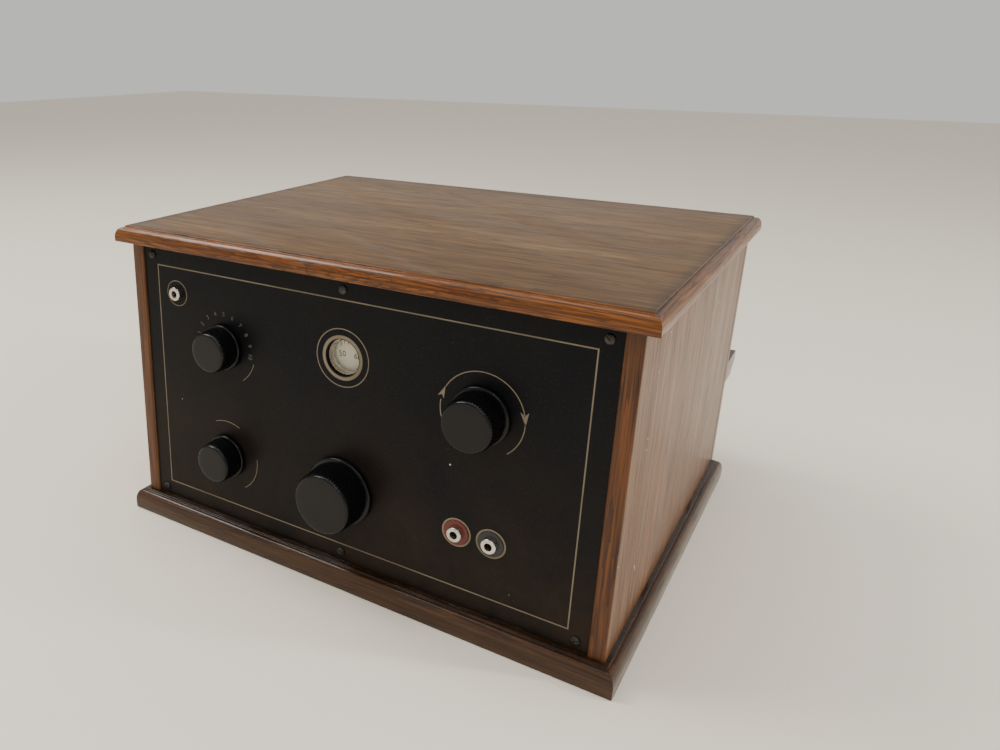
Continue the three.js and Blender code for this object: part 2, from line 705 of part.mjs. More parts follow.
// An insulating disc on two posts, with its ring of contact studs at the back.
function switchPlate(form) {
  const { studRadius, studHeight, postRadius, postInset, postDrop } = switchForm;
  const disc = new THREE.Shape();
  disc.absarc(0, 0, form.plateRadius, 0, 2 * Math.PI);
  roundHole(disc, shaftRadius + seatGap, 0, 0);
  const studs = Array.from({ length: form.studs }, (_, index) => {
    const [x, y] = polar(form.studOrbit, studAngle(form, index));
    return rod(studRadius, switchPlateRear - studHeight, switchPlateRear + bite, { x, y, sides: 10 });
  });
  const posts = [-1, 1].map((side) => {
    const centre = { x: side * (form.plateRadius - postInset), y: -postDrop, sides: 10 };
    return rod(postRadius, switchPlateFront - bite, panelRear - seatGap, centre);
  });
  return join(plate(disc, switchPlateRear, switchPlateFront, 2 * arcSteps), ...studs, ...posts);
}

// A shaft whose spring arm wipes the studs, pointing at the one it rests on.
function switchShaft(form) {
  const { armWidth, armThickness, armTail, armPastStud, hubRadius, hubLength, shaftTail } = switchForm;
  const reach = form.studOrbit + armPastStud;
  const arm = block([-armTail, -armWidth / 2, armFront - armThickness], [reach, armWidth / 2, armFront]);
  arm.rotateZ(degrees(studAngle(form, form.rest - 1)));
  return join(
    rod(shaftRadius, armFront - shaftTail, shaftFront),
    arm,
    rod(hubRadius, armFront - hubLength, armFront),
    collarBehind(panelRear),
  );
}

// ---------------------------------------------------------------- tuning coil and turning reaction coil

const formerY = panelFrontY + reaction.behindPanel;
const formerBottom = base.thickness + glueLine;

function coilFormer() {
  const { outerRadius, wall, height } = former;
  const inner = outerRadius - wall;
  const top = formerBottom + height;
  const tube = turned([
    [inner, formerBottom], [outerRadius, formerBottom], [outerRadius, top],
    [inner, top], [inner, formerBottom],
  ], 32);
  return cut(tube, reactionBore(shaftRadius + runningClearance)).translate(reaction.x, formerY, 0);
}

function reactionBore(radius) {
  const reach = former.outerRadius + winding.thickness + overcut;
  return facingFront(rod(radius, -reach, reach)).translate(0, 0, reaction.z);
}

function coilWinding() {
  const inner = former.outerRadius + glueLine;
  const outer = inner + winding.thickness;
  const [low, high] = [base.thickness + winding.bottom, base.thickness + winding.top];
  const sleeve = turned([[inner, low], [outer, low], [outer, high], [inner, high], [inner, low]], 32);
  return cut(sleeve, reactionBore(shaftRadius + winding.shaftGap)).translate(reaction.x, formerY, 0);
}

// A short bobbin that turns inside the coil former, lying across its shaft.
function reactionCoil() {
  const { coilRadius, coilWall, coilLength, flange, windingDepth, behindPanel } = reaction;
  const inner = coilRadius - coilWall;
  const waist = coilRadius - windingDepth;
  const half = coilLength / 2;
  const bobbin = turned([
    [inner, -half], [coilRadius, -half], [coilRadius, flange - half], [waist, flange - half],
    [waist, half - flange], [coilRadius, half - flange], [coilRadius, half], [inner, half], [inner, -half],
  ], 24);
  bobbin.rotateY(Math.PI / 2);
  const bore = rod(shaftRadius + fixedClearance, -coilRadius - overcut, coilRadius + overcut);
  return cut(bobbin, bore).translate(0, 0, -behindPanel);
}

function reactionShaft() {
  const rear = -reaction.behindPanel - former.outerRadius - winding.thickness - reaction.shaftTail;
  return join(rod(shaftRadius, rear, shaftFront), collarBehind(panelRear));
}

// ---------------------------------------------------------------- valves, transformer and grid condenser

const pinAngles = [0, 90, 180, 270];

function valveHolder() {
  const { holderRadius, holderHeight, holderEase, pinRadius, pinLength, pinHoleGap } = valve;
  const [low, high] = [formerBottom, formerBottom + holderHeight];
  const body = turned([
    [0, low], [holderRadius, low], [holderRadius, high - holderEase],
    [holderRadius - holderEase, high], [0, high],
  ], 20);
  const holes = pinAngles.map((angle) => {
    const [x, y] = polar(valve.pinOrbit, angle);
    const bottom = high - pinLength - pinHoleGap;
    return rod(pinRadius + runningClearance, bottom, high + overcut, { x, y, sides: 8 });
  });
  return cut(body, ...holes);
}

const valveSeat = formerBottom + valve.holderHeight + seatGap;

// The moulded foot of the valve with its four pins.
function valveBase() {
  const { baseRadius, baseHeight, baseEase, lipHeight, lipEase, cupDepth, cupGap } = valve;
  const { neckRadius, pinRadius, pinLength, pinOrbit } = valve;
  const top = valveSeat + baseHeight;
  const cupRadius = neckRadius + cupGap;
  const foot = turned([
    [0, valveSeat], [baseRadius - baseEase, valveSeat], [baseRadius, valveSeat + baseEase],
    [baseRadius, top - lipHeight], [baseRadius - lipEase, top], [cupRadius, top], [cupRadius, top - cupDepth],
    [0, top - cupDepth],
  ], 20);
  const pins = pinAngles.map((angle) => {
    const [x, y] = polar(pinOrbit, angle);
    return rod(pinRadius, valveSeat - pinLength, valveSeat + bite, { x, y, sides: 8 });
  });
  return join(foot, ...pins);
}

// The glass: a neck cemented in the foot, a round bulb and the pip left by the pump.
function valveBulb() {
  const { baseHeight, cupDepth, bulbRadius, bulbHeight, neckRadius, neckHeight } = valve;
  const { pipHeight, pipRadius, pipTip } = valve;
  const bottom = valveSeat + baseHeight - cupDepth + glueLine;
  const top = bottom + bulbHeight;
  const centre = top - bulbRadius - pipHeight;
  const points = [[0, bottom], [neckRadius, bottom], [neckRadius, bottom + neckHeight]];
  for (let angle = -40; angle <= 80; angle += 20) {
    const [x, rise] = polar(bulbRadius, angle);
    points.push([x, centre + rise]);
  }
  points.push([pipRadius, top - pipHeight], [pipTip, top - 1], [0, top]);
  return turned(points, 20);
}

function transformerCore() {
  const { x, y, width, height, depth, limb, windowWidth } = transformer;
  const [low, high] = [formerBottom, formerBottom + height];
  const stack = block([-width / 2, -depth / 2, low], [width / 2, depth / 2, high]);
  const openings = [-1, 1].map((side) => {
    const middle = side * (limb + windowWidth) / 2;
    const half = windowWidth / 2;
    return block([middle - half, -depth, low + limb], [middle + half, depth, high - limb]);
  });
  return cut(stack, ...openings).translate(x, y, 0);
}

// The bobbin and its windings round the middle limb.
function transformerWinding() {
  const { limb, windowWidth, height, depth, windingDepth, x, y } = transformer;
  const low = formerBottom + limb + seatGap;
  const high = formerBottom + height - limb - seatGap;
  const outer = limb / 2 + windowWidth - seatGap;
  const [coreX, coreY] = [limb / 2 + seatGap, depth / 2 + seatGap];
  const whole = block([-outer, -windingDepth / 2, low], [outer, windingDepth / 2, high]);
  const passage = block([-coreX, -coreY, low - overcut], [coreX, coreY, high + overcut]);
  return cut(whole, passage).translate(x, y, 0);
}

// A flat mica condenser with a pair of clips that hold its leak.
function gridCondenserBody() {
  const { width, depth, height, clipHeight, clipThickness, clipHalf, clipInset } = gridCondenser;
  const { leakRadius, leakDrop } = gridCondenser;
  const low = formerBottom;
  const top = low + height;
  const body = block([-width / 2, -depth / 2, low], [width / 2, depth / 2, top]);
  const clips = [-1, 1].map((side) => {
    const x = side * (width / 2 - clipInset);
    const half = clipThickness / 2;
    return block([x - half, -clipHalf, top - bite], [x + half, clipHalf, top + clipHeight]);
  });
  const leak = new THREE.CylinderGeometry(leakRadius, leakRadius, width - 2 * clipInset, roundSides);
  leak.rotateZ(Math.PI / 2);
  leak.translate(0, 0, top + clipHeight - leakDrop);
  return join(body, leak, ...clips).translate(gridCondenser.x, gridCondenser.y, 0);
}

// ---------------------------------------------------------------- rear ledge and terminals

function rearLedge() {
  const { top, depth, thickness, frontFace, chamfer, arris } = ledge;
  const start = backY + glueLine;
  const outline = polygon([
    [start, top - thickness], [start + depth - chamfer, top - thickness], [start + depth, top - frontFace],
    [start + depth, top - arris], [start + depth - arris, top], [start, top],
  ]);
  const half = cabinet.width / 2;
  return facingSide(plate(outline, -half, half));
}

function terminalStrip() {
  const half = ((terminals.count - 1) * terminals.spacing) / 2 + terminals.endMargin;
  const low = ledge.top + glueLine;
  const outline = rectangle(-half, low, half, low + terminals.height);
  terminalXs().forEach((x) => roundHole(outline, socket.tubeRadius + runningClearance, x, terminalZ));
  const rear = backY + glueLine + terminals.thickness;
  return facingFront(plate(outline, -rear, -backY - glueLine));
}

// ---------------------------------------------------------------- put together

add("base_board", baseBoard(), darkOak());
add("side_left", sideBoard(-1), oak());
add("side_right", sideBoard(1), oak());
add("back_board", backBoard(), oak());
add("rail_front_top", frontRail(bodyTop - rail.height, bodyTop - glueLine, topScrewZ), softwood());
add("rail_front_bottom", frontRail(formerBottom, formerBottom + rail.height, bottomScrewZ), softwood());
add("rail_rear_top", rearRail(), softwood());
add("front_panel", frontPanel(), ebonite());
add("lid", lidBoard(), oak());

[["left", -1], ["right", 1]].forEach(([name, side]) => {
  add(`hinge_${name}_lower`, lowerLeaf(side), brass());
  add(`hinge_${name}_upper`, upperLeaf(side), brass());
});

[topScrewZ, bottomScrewZ].forEach((z, row) => {
  screwXs.forEach((x, column) => {
    add(`panel_screw_${row * screwXs.length + column + 1}`, panelScrew(), steel(), onPanel({ x, z }));
  });
});

add("window_bezel", windowBezel(), nickel(), onPanel(windowCentre));

const antenna = onPanel(antennaSocket);
add("antenna_socket", plugSocket(fixedClearance, panelRear), nickel(), antenna);

[["left", redEbonite()], ["right", ebonite()]].forEach(([name, material], index) => {
  const place = onPanel({ x: phoneSocketXs[index], z: phoneSockets.z });
  add(`phone_bush_${name}`, socketBush(), material, place);
  add(`phone_socket_${name}`, plugSocket(bush.thickness + fixedClearance, panelRear), nickel(), place);
});

add("rear_ledge", rearLedge(), oak());
add("terminal_strip", terminalStrip(), ebonite());
terminalXs().forEach((x, index) => {
  const place = new THREE.Group();
  place.position.set(x, backY + glueLine + terminals.thickness, terminalZ);
  place.rotation.x = -Math.PI / 2;
  receiver.add(place);
  add(`terminal_socket_${index + 1}`, plugSocket(fixedClearance, -terminals.thickness), nickel(), place);
});

const dial = onPanel(dialAxis);
add("dial_scale", dialScaleDisc(), celluloid(), dial);
add("dial_wheel", dialWheel(), brass(), dial);
add("condenser_rotor", condenserRotor(), aluminium(), dial);
add("condenser_stator", condenserStator(), aluminium(), dial);
add("stator_insulator", statorInsulator(), ebonite(), dial);
add("condenser_frame", condenserFrame(), brass(), dial);

const tuning = onPanel(tuningAxis);
add("tuning_knob", knob(tuningKnob), bakelite(), tuning);
add("tuning_shaft", tuningShaft(), brass(), tuning);

[["selector", selector], ["wave", waveSwitch]].forEach(([name, form]) => {
  const place = onPanel(form);
  add(`${name}_knob`, knob(smallKnob), bakelite(), place);
  add(`${name}_shaft`, switchShaft(form), brass(), place);
  add(`${name}_plate`, switchPlate(form), card(), place);
});

const reactionPlace = onPanel(reaction);
add("reaction_knob", knob(reactionKnob), bakelite(), reactionPlace);
add("reaction_shaft", reactionShaft(), brass(), reactionPlace);
add("reaction_coil", reactionCoil(), greenSilk(), reactionPlace);
add("coil_former", coilFormer(), card());
add("coil_winding", coilWinding(), greenSilk());

valve.places.forEach(([x, y], index) => {
  const place = new THREE.Group();
  place.position.set(x, y, 0);
  receiver.add(place);
  add(`valve_holder_${index + 1}`, valveHolder(), ebonite(), place);
  add(`valve_base_${index + 1}`, valveBase(), bakelite(), place);
  add(`valve_bulb_${index + 1}`, valveBulb(), glass(), place);
});

add("transformer_core", transformerCore(), steel());
add("transformer_winding", transformerWinding(), card());
add("grid_condenser", gridCondenserBody(), bakelite());

export default receiver;
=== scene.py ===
# Looks of a table-top battery valve receiver: oak cabinet, black panel, fluted knobs.
#
# Metres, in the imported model's frame: X right, Y back, Z up. Places come from the frame.

import json
import math
import random

import bmesh
import bpy
from mathutils import Matrix, Vector


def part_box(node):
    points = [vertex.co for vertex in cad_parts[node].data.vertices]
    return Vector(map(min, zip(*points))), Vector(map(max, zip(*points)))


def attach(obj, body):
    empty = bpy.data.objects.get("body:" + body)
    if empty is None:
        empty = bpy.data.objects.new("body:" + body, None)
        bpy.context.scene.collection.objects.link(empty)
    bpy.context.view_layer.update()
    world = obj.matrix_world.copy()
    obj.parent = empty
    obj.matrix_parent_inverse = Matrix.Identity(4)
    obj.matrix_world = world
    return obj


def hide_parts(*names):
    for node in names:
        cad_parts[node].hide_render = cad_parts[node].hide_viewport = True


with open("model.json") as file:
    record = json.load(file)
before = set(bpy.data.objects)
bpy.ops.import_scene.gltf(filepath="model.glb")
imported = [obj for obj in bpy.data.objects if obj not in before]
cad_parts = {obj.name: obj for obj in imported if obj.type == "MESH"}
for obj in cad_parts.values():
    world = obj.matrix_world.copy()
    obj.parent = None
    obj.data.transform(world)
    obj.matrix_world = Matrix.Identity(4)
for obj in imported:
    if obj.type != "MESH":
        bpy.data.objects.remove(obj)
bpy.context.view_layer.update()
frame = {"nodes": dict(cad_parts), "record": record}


MM = 0.001

# ---------------------------------------------------------------- places read from the frame


def middle(node):
    low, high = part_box(node)
    return (low + high) / 2


PANEL_LOW, PANEL_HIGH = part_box("front_panel")
PANEL_FRONT = PANEL_LOW.y
JOINTS = {joint["name"]: joint for joint in frame["record"]["behaviour"]["joints"]}
DIAL_AXIS = Vector(JOINTS["dial_turn"]["pos_m"])
WINDOW = middle("window_bezel")
BASE_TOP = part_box("base_board")[1].z


# ---------------------------------------------------------------- mesh helpers


def make_mesh(name, vertices, faces, smooth_angle=35):
    """A named mesh object; edges sharper than smooth_angle stay crisp."""
    mesh = bpy.data.meshes.new(name)
    mesh.from_pydata(vertices, [], faces)
    mesh.validate()
    work = bmesh.new()
    work.from_mesh(mesh)
    bmesh.ops.remove_doubles(work, verts=work.verts, dist=1e-7)
    bmesh.ops.recalc_face_normals(work, faces=work.faces)
    limit = math.radians(smooth_angle)
    for face in work.faces:
        face.smooth = True
    for edge in work.edges:
        edge.smooth = len(edge.link_faces) == 2 and edge.calc_face_angle(0) < limit
    work.to_mesh(mesh)
    work.free()
    piece = bpy.data.objects.new(name, mesh)
    bpy.context.scene.collection.objects.link(piece)
    return piece


def fit_out(piece, material, body="cabinet", replaces=()):
    """Gives a piece its material, body and the CAD nodes it stands for."""
    piece.data.materials.clear()
    piece.data.materials.append(material)
    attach(piece, body)
    if replaces:
        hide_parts(*replaces)
    return piece


def facing(place, direction):
    """Takes local Z to direction, keeping local Y up where it can."""
    turn = Vector(direction).to_track_quat("Z", "Y").to_matrix().to_4x4()
    if abs(direction[2]) < 0.5:
        across = Vector((0, 0, 1)).cross(Vector(direction))
        turn = Matrix((across, (0, 0, 1), direction)).transposed().to_4x4()
    return Matrix.Translation(place) @ turn


FRONT = (0, -1, 0)
REAR = (0, 1, 0)
UP = (0, 0, 1)


def turned(profile, place, direction=FRONT, sides=64, ripple=None):
    """Turns [radius, height] points about local Z. ripple(index, angle) is taken off a radius."""
    matrix = facing(place, direction)
    vertices = []
    for index, (radius, height) in enumerate(profile):
        for step in range(sides):
            angle = 2 * math.pi * step / sides
            reach = radius - (ripple(index, angle) if ripple else 0)
            vertices.append(matrix @ Vector((reach * math.cos(angle), reach * math.sin(angle), height)))
    faces = []
    for ring in range(len(profile) - 1):
        for step in range(sides):
            after = (step + 1) % sides
            low, high = ring * sides, (ring + 1) * sides
            faces.append((low + step, low + after, high + after, high + step))
    return vertices, faces


def lathe(name, profile, place, direction=FRONT, sides=64, ripple=None, smooth_angle=35):
    return make_mesh(name, *turned(profile, place, direction, sides, ripple), smooth_angle)


def arc(radius, start, end, centre=(0, 0), steps=10):
    """Points on an arc, angles in degrees."""
    turn = [math.radians(start + (end - start) * step / steps) for step in range(steps + 1)]
    return [(centre[0] + radius * math.cos(a), centre[1] + radius * math.sin(a)) for a in turn]


def ribbon(path, width, matrix, closed=False, height=0.05 * MM):
    """Vertices and faces of a thin flat strip along a 2-D path, raised by height."""
    count = len(path)
    vertices, faces = [], []
    for index, point in enumerate(path):
        here = Vector(point)
        before = Vector(path[index - 1] if index or closed else point)
        after = Vector(path[(index + 1) % count] if index < count - 1 or closed else point)
        first = (here - before).normalized() if (here - before).length else None
        second = (after - here).normalized() if (after - here).length else None
        first, second = first or second, second or first
        bisector = (first + second).normalized()
        side = Vector((-bisector.y, bisector.x)) * (width / 2 / max(bisector.dot(second), 0.5))
        for sign, level in ((1, 0), (-1, 0), (-1, height), (1, height)):
            spot = here + sign * side
            vertices.append(matrix @ Vector((spot.x, spot.y, level)))
    spans = count if closed else count - 1
    for index in range(spans):
        low, high = 4 * index, 4 * ((index + 1) % count)
        for corner in range(4):
            following = (corner + 1) % 4
            faces.append((low + corner, low + following, high + following, high + corner))
    if not closed:
        last = 4 * (count - 1)
        faces += [(3, 2, 1, 0), (last, last + 1, last + 2, last + 3)]
    return vertices, faces


def gathered(name, shapes, smooth_angle=35):
    """One object from several (vertices, faces) pairs."""
    vertices, faces = [], []
    for more_vertices, more_faces in shapes:
        start = len(vertices)
        vertices += more_vertices
        faces += [tuple(start + corner for corner in face) for face in more_faces]
    return make_mesh(name, vertices, faces, smooth_angle)


def brick(low, high):
    """Vertices and faces of a box."""
    x, y, z = zip(low, high)
    vertices = [Vector((x[i], y[j], z[k])) for i in (0, 1) for j in (0, 1) for k in (0, 1)]
    faces = [(0, 1, 3, 2), (4, 6, 7, 5), (0, 4, 5, 1), (2, 3, 7, 6), (0, 2, 6, 4), (1, 5, 7, 3)]
    return vertices, faces


def numeral(text, size, matrix, thickness=0.05 * MM):
    """Vertices and faces of a number, centred on the matrix."""
    curve = bpy.data.curves.new("numeral", "FONT")
    curve.body = text
    curve.size = size
    curve.align_x = "CENTER"
    curve.align_y = "CENTER"
    curve.extrude = thickness / 2
    curve.resolution_u = 4
    holder = bpy.data.objects.new("numeral", curve)
    bpy.context.scene.collection.objects.link(holder)
    bpy.context.view_layer.update()
    mesh = holder.to_mesh()
    vertices = [matrix @ (vertex.co + Vector((0, 0, thickness / 2))) for vertex in mesh.vertices]
    faces = [tuple(face.vertices) for face in mesh.polygons]
    holder.to_mesh_clear()
    bpy.data.objects.remove(holder)
    bpy.data.curves.remove(curve)
    return vertices, faces


def wire(name, points, radius, material, body="cabinet"):
    """A bent wire through the points, as a bevelled curve turned into a mesh."""
    curve = bpy.data.curves.new(name, "CURVE")
    curve.dimensions = "3D"
    curve.bevel_depth = radius
    curve.bevel_resolution = 3
    curve.use_fill_caps = True
    spline = curve.splines.new("POLY")
    spline.points.add(len(points) - 1)
    for point, place in zip(spline.points, points):
        point.co = (*place, 1)
    holder = bpy.data.objects.new(name + "_path", curve)
    bpy.context.scene.collection.objects.link(holder)
    bpy.context.view_layer.update()
    mesh = bpy.data.meshes.new_from_object(holder)
    bpy.data.objects.remove(holder)
    piece = bpy.data.objects.new(name, mesh)
    bpy.context.scene.collection.objects.link(piece)
    for face in mesh.polygons:
        face.use_smooth = True
    return fit_out(piece, material, body)


# ---------------------------------------------------------------- materials


class Paint:
    """One procedural material, built a node at a time in the piece's own coordinates."""

    def __init__(self, name):
        self.material = bpy.data.materials.new(name)
        self.material.use_nodes = True
        self.nodes = self.material.node_tree.nodes
        self.links = self.material.node_tree.links
        self.shader = self.nodes["Principled BSDF"]
        self.place = self.nodes.new("ShaderNodeTexCoord").outputs["Object"]

    def add(self, kind, inputs=None, **values):
        node = self.nodes.new(kind)
        for name, value in values.items():
            setattr(node, name, value)
        for key, source in (inputs or {}).items():
            self.feed(node.inputs[key], source)
        return node

    def feed(self, socket, source):
        if isinstance(source, bpy.types.NodeSocket):
            self.links.new(source, socket)
        else:
            socket.default_value = source

    def set(self, **values):
        names = {"ior": "IOR"}
        for key, source in values.items():
            self.feed(self.shader.inputs[names.get(key, key.replace("_", " ").title())], source)

    def stretched(self, scale, offset=(0, 0, 0)):
        mapping = self.add("ShaderNodeMapping", {"Vector": self.place})
        mapping.inputs["Scale"].default_value = scale
        mapping.inputs["Location"].default_value = offset
        return mapping.outputs["Vector"]

    def noise(self, scale, detail=3, roughness=0.55, distortion=0, vector=None):
        inputs = {"Vector": vector or self.place, "Scale": scale, "Detail": detail}
        inputs.update({"Roughness": roughness, "Distortion": distortion})
        return self.add("ShaderNodeTexNoise", inputs).outputs["Fac"]

    def math(self, kind, first, second=0.0):
        return self.add("ShaderNodeMath", {0: first, 1: second}, operation=kind).outputs[0]

    def level(self, value, low, high, to_low=0.0, to_high=1.0):
        inputs = {"Value": value, "From Min": low, "From Max": high, "To Min": to_low, "To Max": to_high}
        return self.add("ShaderNodeMapRange", inputs).outputs["Result"]

    def ramp(self, value, stops):
        node = self.add("ShaderNodeValToRGB", {"Fac": value})
        elements = node.color_ramp.elements
        while len(elements) < len(stops):
            elements.new(0.5)
        for element, (position, color) in zip(elements, stops):
            element.position = position
            element.color = (*color, 1)
        return node.outputs["Color"]

    def mix(self, share, first, second, kind="MIX"):
        node = self.add("ShaderNodeMix", data_type="RGBA", blend_type=kind)
        for index, source in ((0, share), (6, first), (7, second)):
            if isinstance(source, tuple):
                source = (*source, 1)
            self.feed(node.inputs[index], source)
        return node.outputs[2]

    def axis(self, letter):
        return self.add("ShaderNodeSeparateXYZ", {0: self.place}).outputs[letter]

    def bump(self, height, distance, strength=1.0, rounding=0.0):
        inputs = {"Height": height, "Distance": distance, "Strength": strength}
        if rounding:
            eased = self.add("ShaderNodeBevel", {"Radius": rounding}, samples=4)
            inputs["Normal"] = eased.outputs[0]
        self.set(normal=self.add("ShaderNodeBump", inputs).outputs["Normal"])

    def specks(self, scale, size, spread):
        """Small spots, most of them left out: a mask of 0 or 1."""
        cells = self.add("ShaderNodeTexVoronoi", {"Vector": self.place, "Scale": scale})
        near = self.level(cells.outputs["Distance"], size, size * 0.6)
        chosen = self.level(self.noise(scale * 0.45, 1), spread, spread + 0.02)
        return self.math("MULTIPLY", near, chosen)


def oak(name, grain, tones, gloss=0.38, seed=0, pale=None, dark_edge=None, figure=0.5):
    """Oak with its grain along one axis: figure, pores, ray flecks, stains and worn varnish."""
    paint = Paint(name)
    along = [1.0, 1.0, 1.0]
    along["XYZ".index(grain)] = 0.07
    long_grain = [1.0, 1.0, 1.0]
    long_grain["XYZ".index(grain)] = 0.022
    offset = (seed * 0.37, seed * 0.21, seed * 0.13)
    board = paint.stretched(along, offset)
    streaks = paint.stretched(long_grain, offset)

    bands = paint.noise(55, 4, 0.62, figure, board)
    rings = paint.math("FRACT", paint.math("MULTIPLY", bands, 9.0))
    late_wood = paint.level(rings, 0.35, 1.0)
    fine = paint.noise(900, 3, 0.6, 0, streaks)
    pores = paint.level(paint.noise(1500, 2, 0.5, 0, streaks), 0.60, 0.72)
    cloud = paint.noise(26, 4, 0.6, 0, board)

    color = paint.ramp(cloud, [(0.30, tones[0]), (0.55, tones[1]), (0.78, tones[2])])
    color = paint.mix(paint.math("MULTIPLY", late_wood, 0.72), color, tones[3])
    color = paint.mix(paint.level(fine, 0.38, 0.66, 0.0, 0.75), color, tones[3])
    color = paint.mix(paint.math("MULTIPLY", pores, 0.9), color, tones[4])
    if pale:
        flecks = paint.level(paint.noise(700, 2, 0.5, 0, streaks), 0.56, 0.66, 0.0, 0.5)
        color = paint.mix(flecks, color, pale)
        color = paint.mix(paint.specks(150, 0.13, 0.66), color, (0.75, 0.72, 0.68))
    if dark_edge:
        color = paint.mix(dark_edge(paint), color, tones[4])
    paint.set(base_color=color)
    worn = paint.level(paint.noise(90, 5, 0.65, 0, board), 0.3, 0.75, gloss - 0.05, gloss + 0.1)
    paint.set(roughness=paint.math("ADD", worn, paint.math("MULTIPLY", pores, 0.25)))
    paint.shader.inputs["Coat Weight"].default_value = 0.12
    paint.shader.inputs["Specular IOR Level"].default_value = 0.30
    paint.shader.inputs["Coat Roughness"].default_value = 0.22
    relief = paint.math("ADD", paint.math("MULTIPLY", pores, -1.0), paint.math("MULTIPLY", fine, 0.7))
    relief = paint.math("ADD", relief, paint.math("MULTIPLY", paint.noise(220, 3), 0.5))
    paint.bump(relief, 0.00022, 0.55, 0.0005)
    return paint.material


def near_face(axis, level, reach):
    """A mask that grows towards a plane, broken up by noise."""
    def mask(paint):
        distance = paint.math("ABSOLUTE", paint.math("SUBTRACT", paint.axis(axis), level))
        ragged = paint.math("ADD", distance, paint.math("MULTIPLY", paint.noise(130, 4, 0.7), reach))
        return paint.level(ragged, reach * 1.35, reach * 0.35, 0.0, 0.9)
    return mask


def near_rim(box, reach):
    """A mask that darkens a board where it meets its moulding."""
    (x0, y0, _), (x1, y1, _) = box

    def mask(paint):
        nearest = 1.0
        for letter, level in (("X", x0), ("X", x1), ("Y", y0), ("Y", y1)):
            gap = paint.math("ABSOLUTE", paint.math("SUBTRACT", paint.axis(letter), level))
            nearest = paint.math("MINIMUM", gap, nearest)
        ragged = paint.math("ADD", nearest, paint.math("MULTIPLY", paint.noise(60, 5, 0.75), reach * 1.3))
        return paint.level(ragged, reach * 1.7, reach * 0.8, 0.0, 0.8)
    return mask


def plastic(name, tone, shade, roughness, speck=0.0, coat=0.0, relief=0.00004, patch=None, shine=0.5):
    """Moulded or sawn ebonite: mottling, fine specks, dull patches and handling marks."""
    paint = Paint(name)
    cloud = paint.noise(22, 5, 0.65)
    color = paint.ramp(cloud, [(0.32, tone), (0.72, shade)])
    if patch:
        # Browner towards the bottom of the panel, in patches, fading out upwards.
        level, reach, lower_tone = patch
        lower = paint.level(paint.axis("Z"), level + reach, level, 0.0, 1.0)
        lower_tint = paint.math("MULTIPLY", lower, paint.level(paint.noise(16, 4, 0.7), 0.32, 0.62))
        color = paint.mix(paint.math("MULTIPLY", lower_tint, 0.85), color, lower_tone)
    if speck:
        grit = paint.level(paint.noise(2600, 1), 0.70, 0.78, 0.0, speck)
        color = paint.mix(grit, color, (0.16, 0.15, 0.14))
        color = paint.mix(paint.specks(130, 0.085, 0.66), color, (0.55, 0.53, 0.5))
    paint.set(base_color=color)
    paint.set(roughness=paint.level(paint.noise(45, 5, 0.7), 0.3, 0.75, roughness, roughness + 0.16))
    paint.shader.inputs["Coat Weight"].default_value = coat
    paint.shader.inputs["Specular IOR Level"].default_value = shine
    paint.shader.inputs["Coat Roughness"].default_value = 0.12
    scratches = paint.noise(600, 4, 0.7, 0, paint.stretched((1, 1, 0.25)))
    paint.bump(scratches, relief, 0.6, 0.00025)
    return paint.material


def metal(name, tone, tarnish, roughness, brushed=None):
    """Plated or bare metal with tarnish, fine scratches and uneven polish."""
    paint = Paint(name)
    cloud = paint.noise(260, 5, 0.7)
    paint.set(base_color=paint.ramp(cloud, [(0.38, tone), (0.66, tarnish)]))
    paint.set(metallic=1.0)
    paint.set(roughness=paint.level(cloud, 0.3, 0.7, roughness, roughness + 0.22))
    vector = paint.stretched(brushed) if brushed else paint.place
    paint.bump(paint.noise(1800, 3, 0.6, 0, vector), 0.00003, 0.5)
    return paint.material


def simple_fibre(name, tone, shade, roughness, scale, stretch=(1, 1, 1), relief=0.0001):
    """Card, silk or paper: fibres in two tones, with their relief."""
    paint = Paint(name)
    fibres = paint.noise(scale, 4, 0.65, 0, paint.stretched(stretch))
    cloud = paint.noise(40, 3)
    color = paint.mix(cloud, paint.ramp(fibres, [(0.35, tone), (0.65, shade)]), tone)
    paint.set(base_color=color)
    paint.set(roughness=paint.level(fibres, 0.3, 0.7, roughness - 0.08, roughness + 0.08))
    paint.bump(fibres, relief, 0.7)
    return paint.material


def glass_material():
    """Clear bulb glass, a little grey where the getter was fired."""
    paint = Paint("bulb_glass")
    paint.set(base_color=paint.ramp(paint.noise(60, 3), [(0.3, (0.93, 0.96, 0.95)), (0.7, (0.86, 0.9, 0.9))]))
    paint.set(roughness=paint.level(paint.noise(90, 3), 0.3, 0.7, 0.01, 0.05))
    paint.shader.inputs["Transmission Weight"].default_value = 1.0
    paint.shader.inputs["IOR"].default_value = 1.5
    return paint.material


# Early wood dark, middle and light, then late wood, then pores.
LID_TONES = [
    (0.105, 0.050, 0.014), (0.165, 0.082, 0.024), (0.22, 0.118, 0.038), (0.045, 0.020, 0.006), (0.014,
        0.007, 0.003),
]
EDGE_TONES = [
    (0.17, 0.050, 0.007), (0.28, 0.090, 0.012), (0.42, 0.150, 0.022), (0.030, 0.008, 0.002), (0.010, 0.003,
        0.001),
]
STRIP_TONES = [
    (0.095, 0.028, 0.005), (0.145, 0.045, 0.008), (0.20, 0.068, 0.012), (0.020, 0.006, 0.002), (0.008,
        0.003, 0.001),
]
SIDE_TONES = [
    (0.15, 0.055, 0.016), (0.21, 0.084, 0.026), (0.27, 0.115, 0.040), (0.075, 0.024, 0.007), (0.024, 0.008,
        0.003),
]
BASE_TONES = [
    (0.050, 0.021, 0.008), (0.082, 0.034, 0.011), (0.13, 0.055, 0.017), (0.022, 0.009, 0.004), (0.008,
        0.004, 0.002),
]
PINE_TONES = [
    (0.50, 0.34, 0.18), (0.58, 0.41, 0.23), (0.64, 0.47, 0.28), (0.42, 0.26, 0.12), (0.30, 0.17, 0.08),
]

LID_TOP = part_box("lid")[1].z

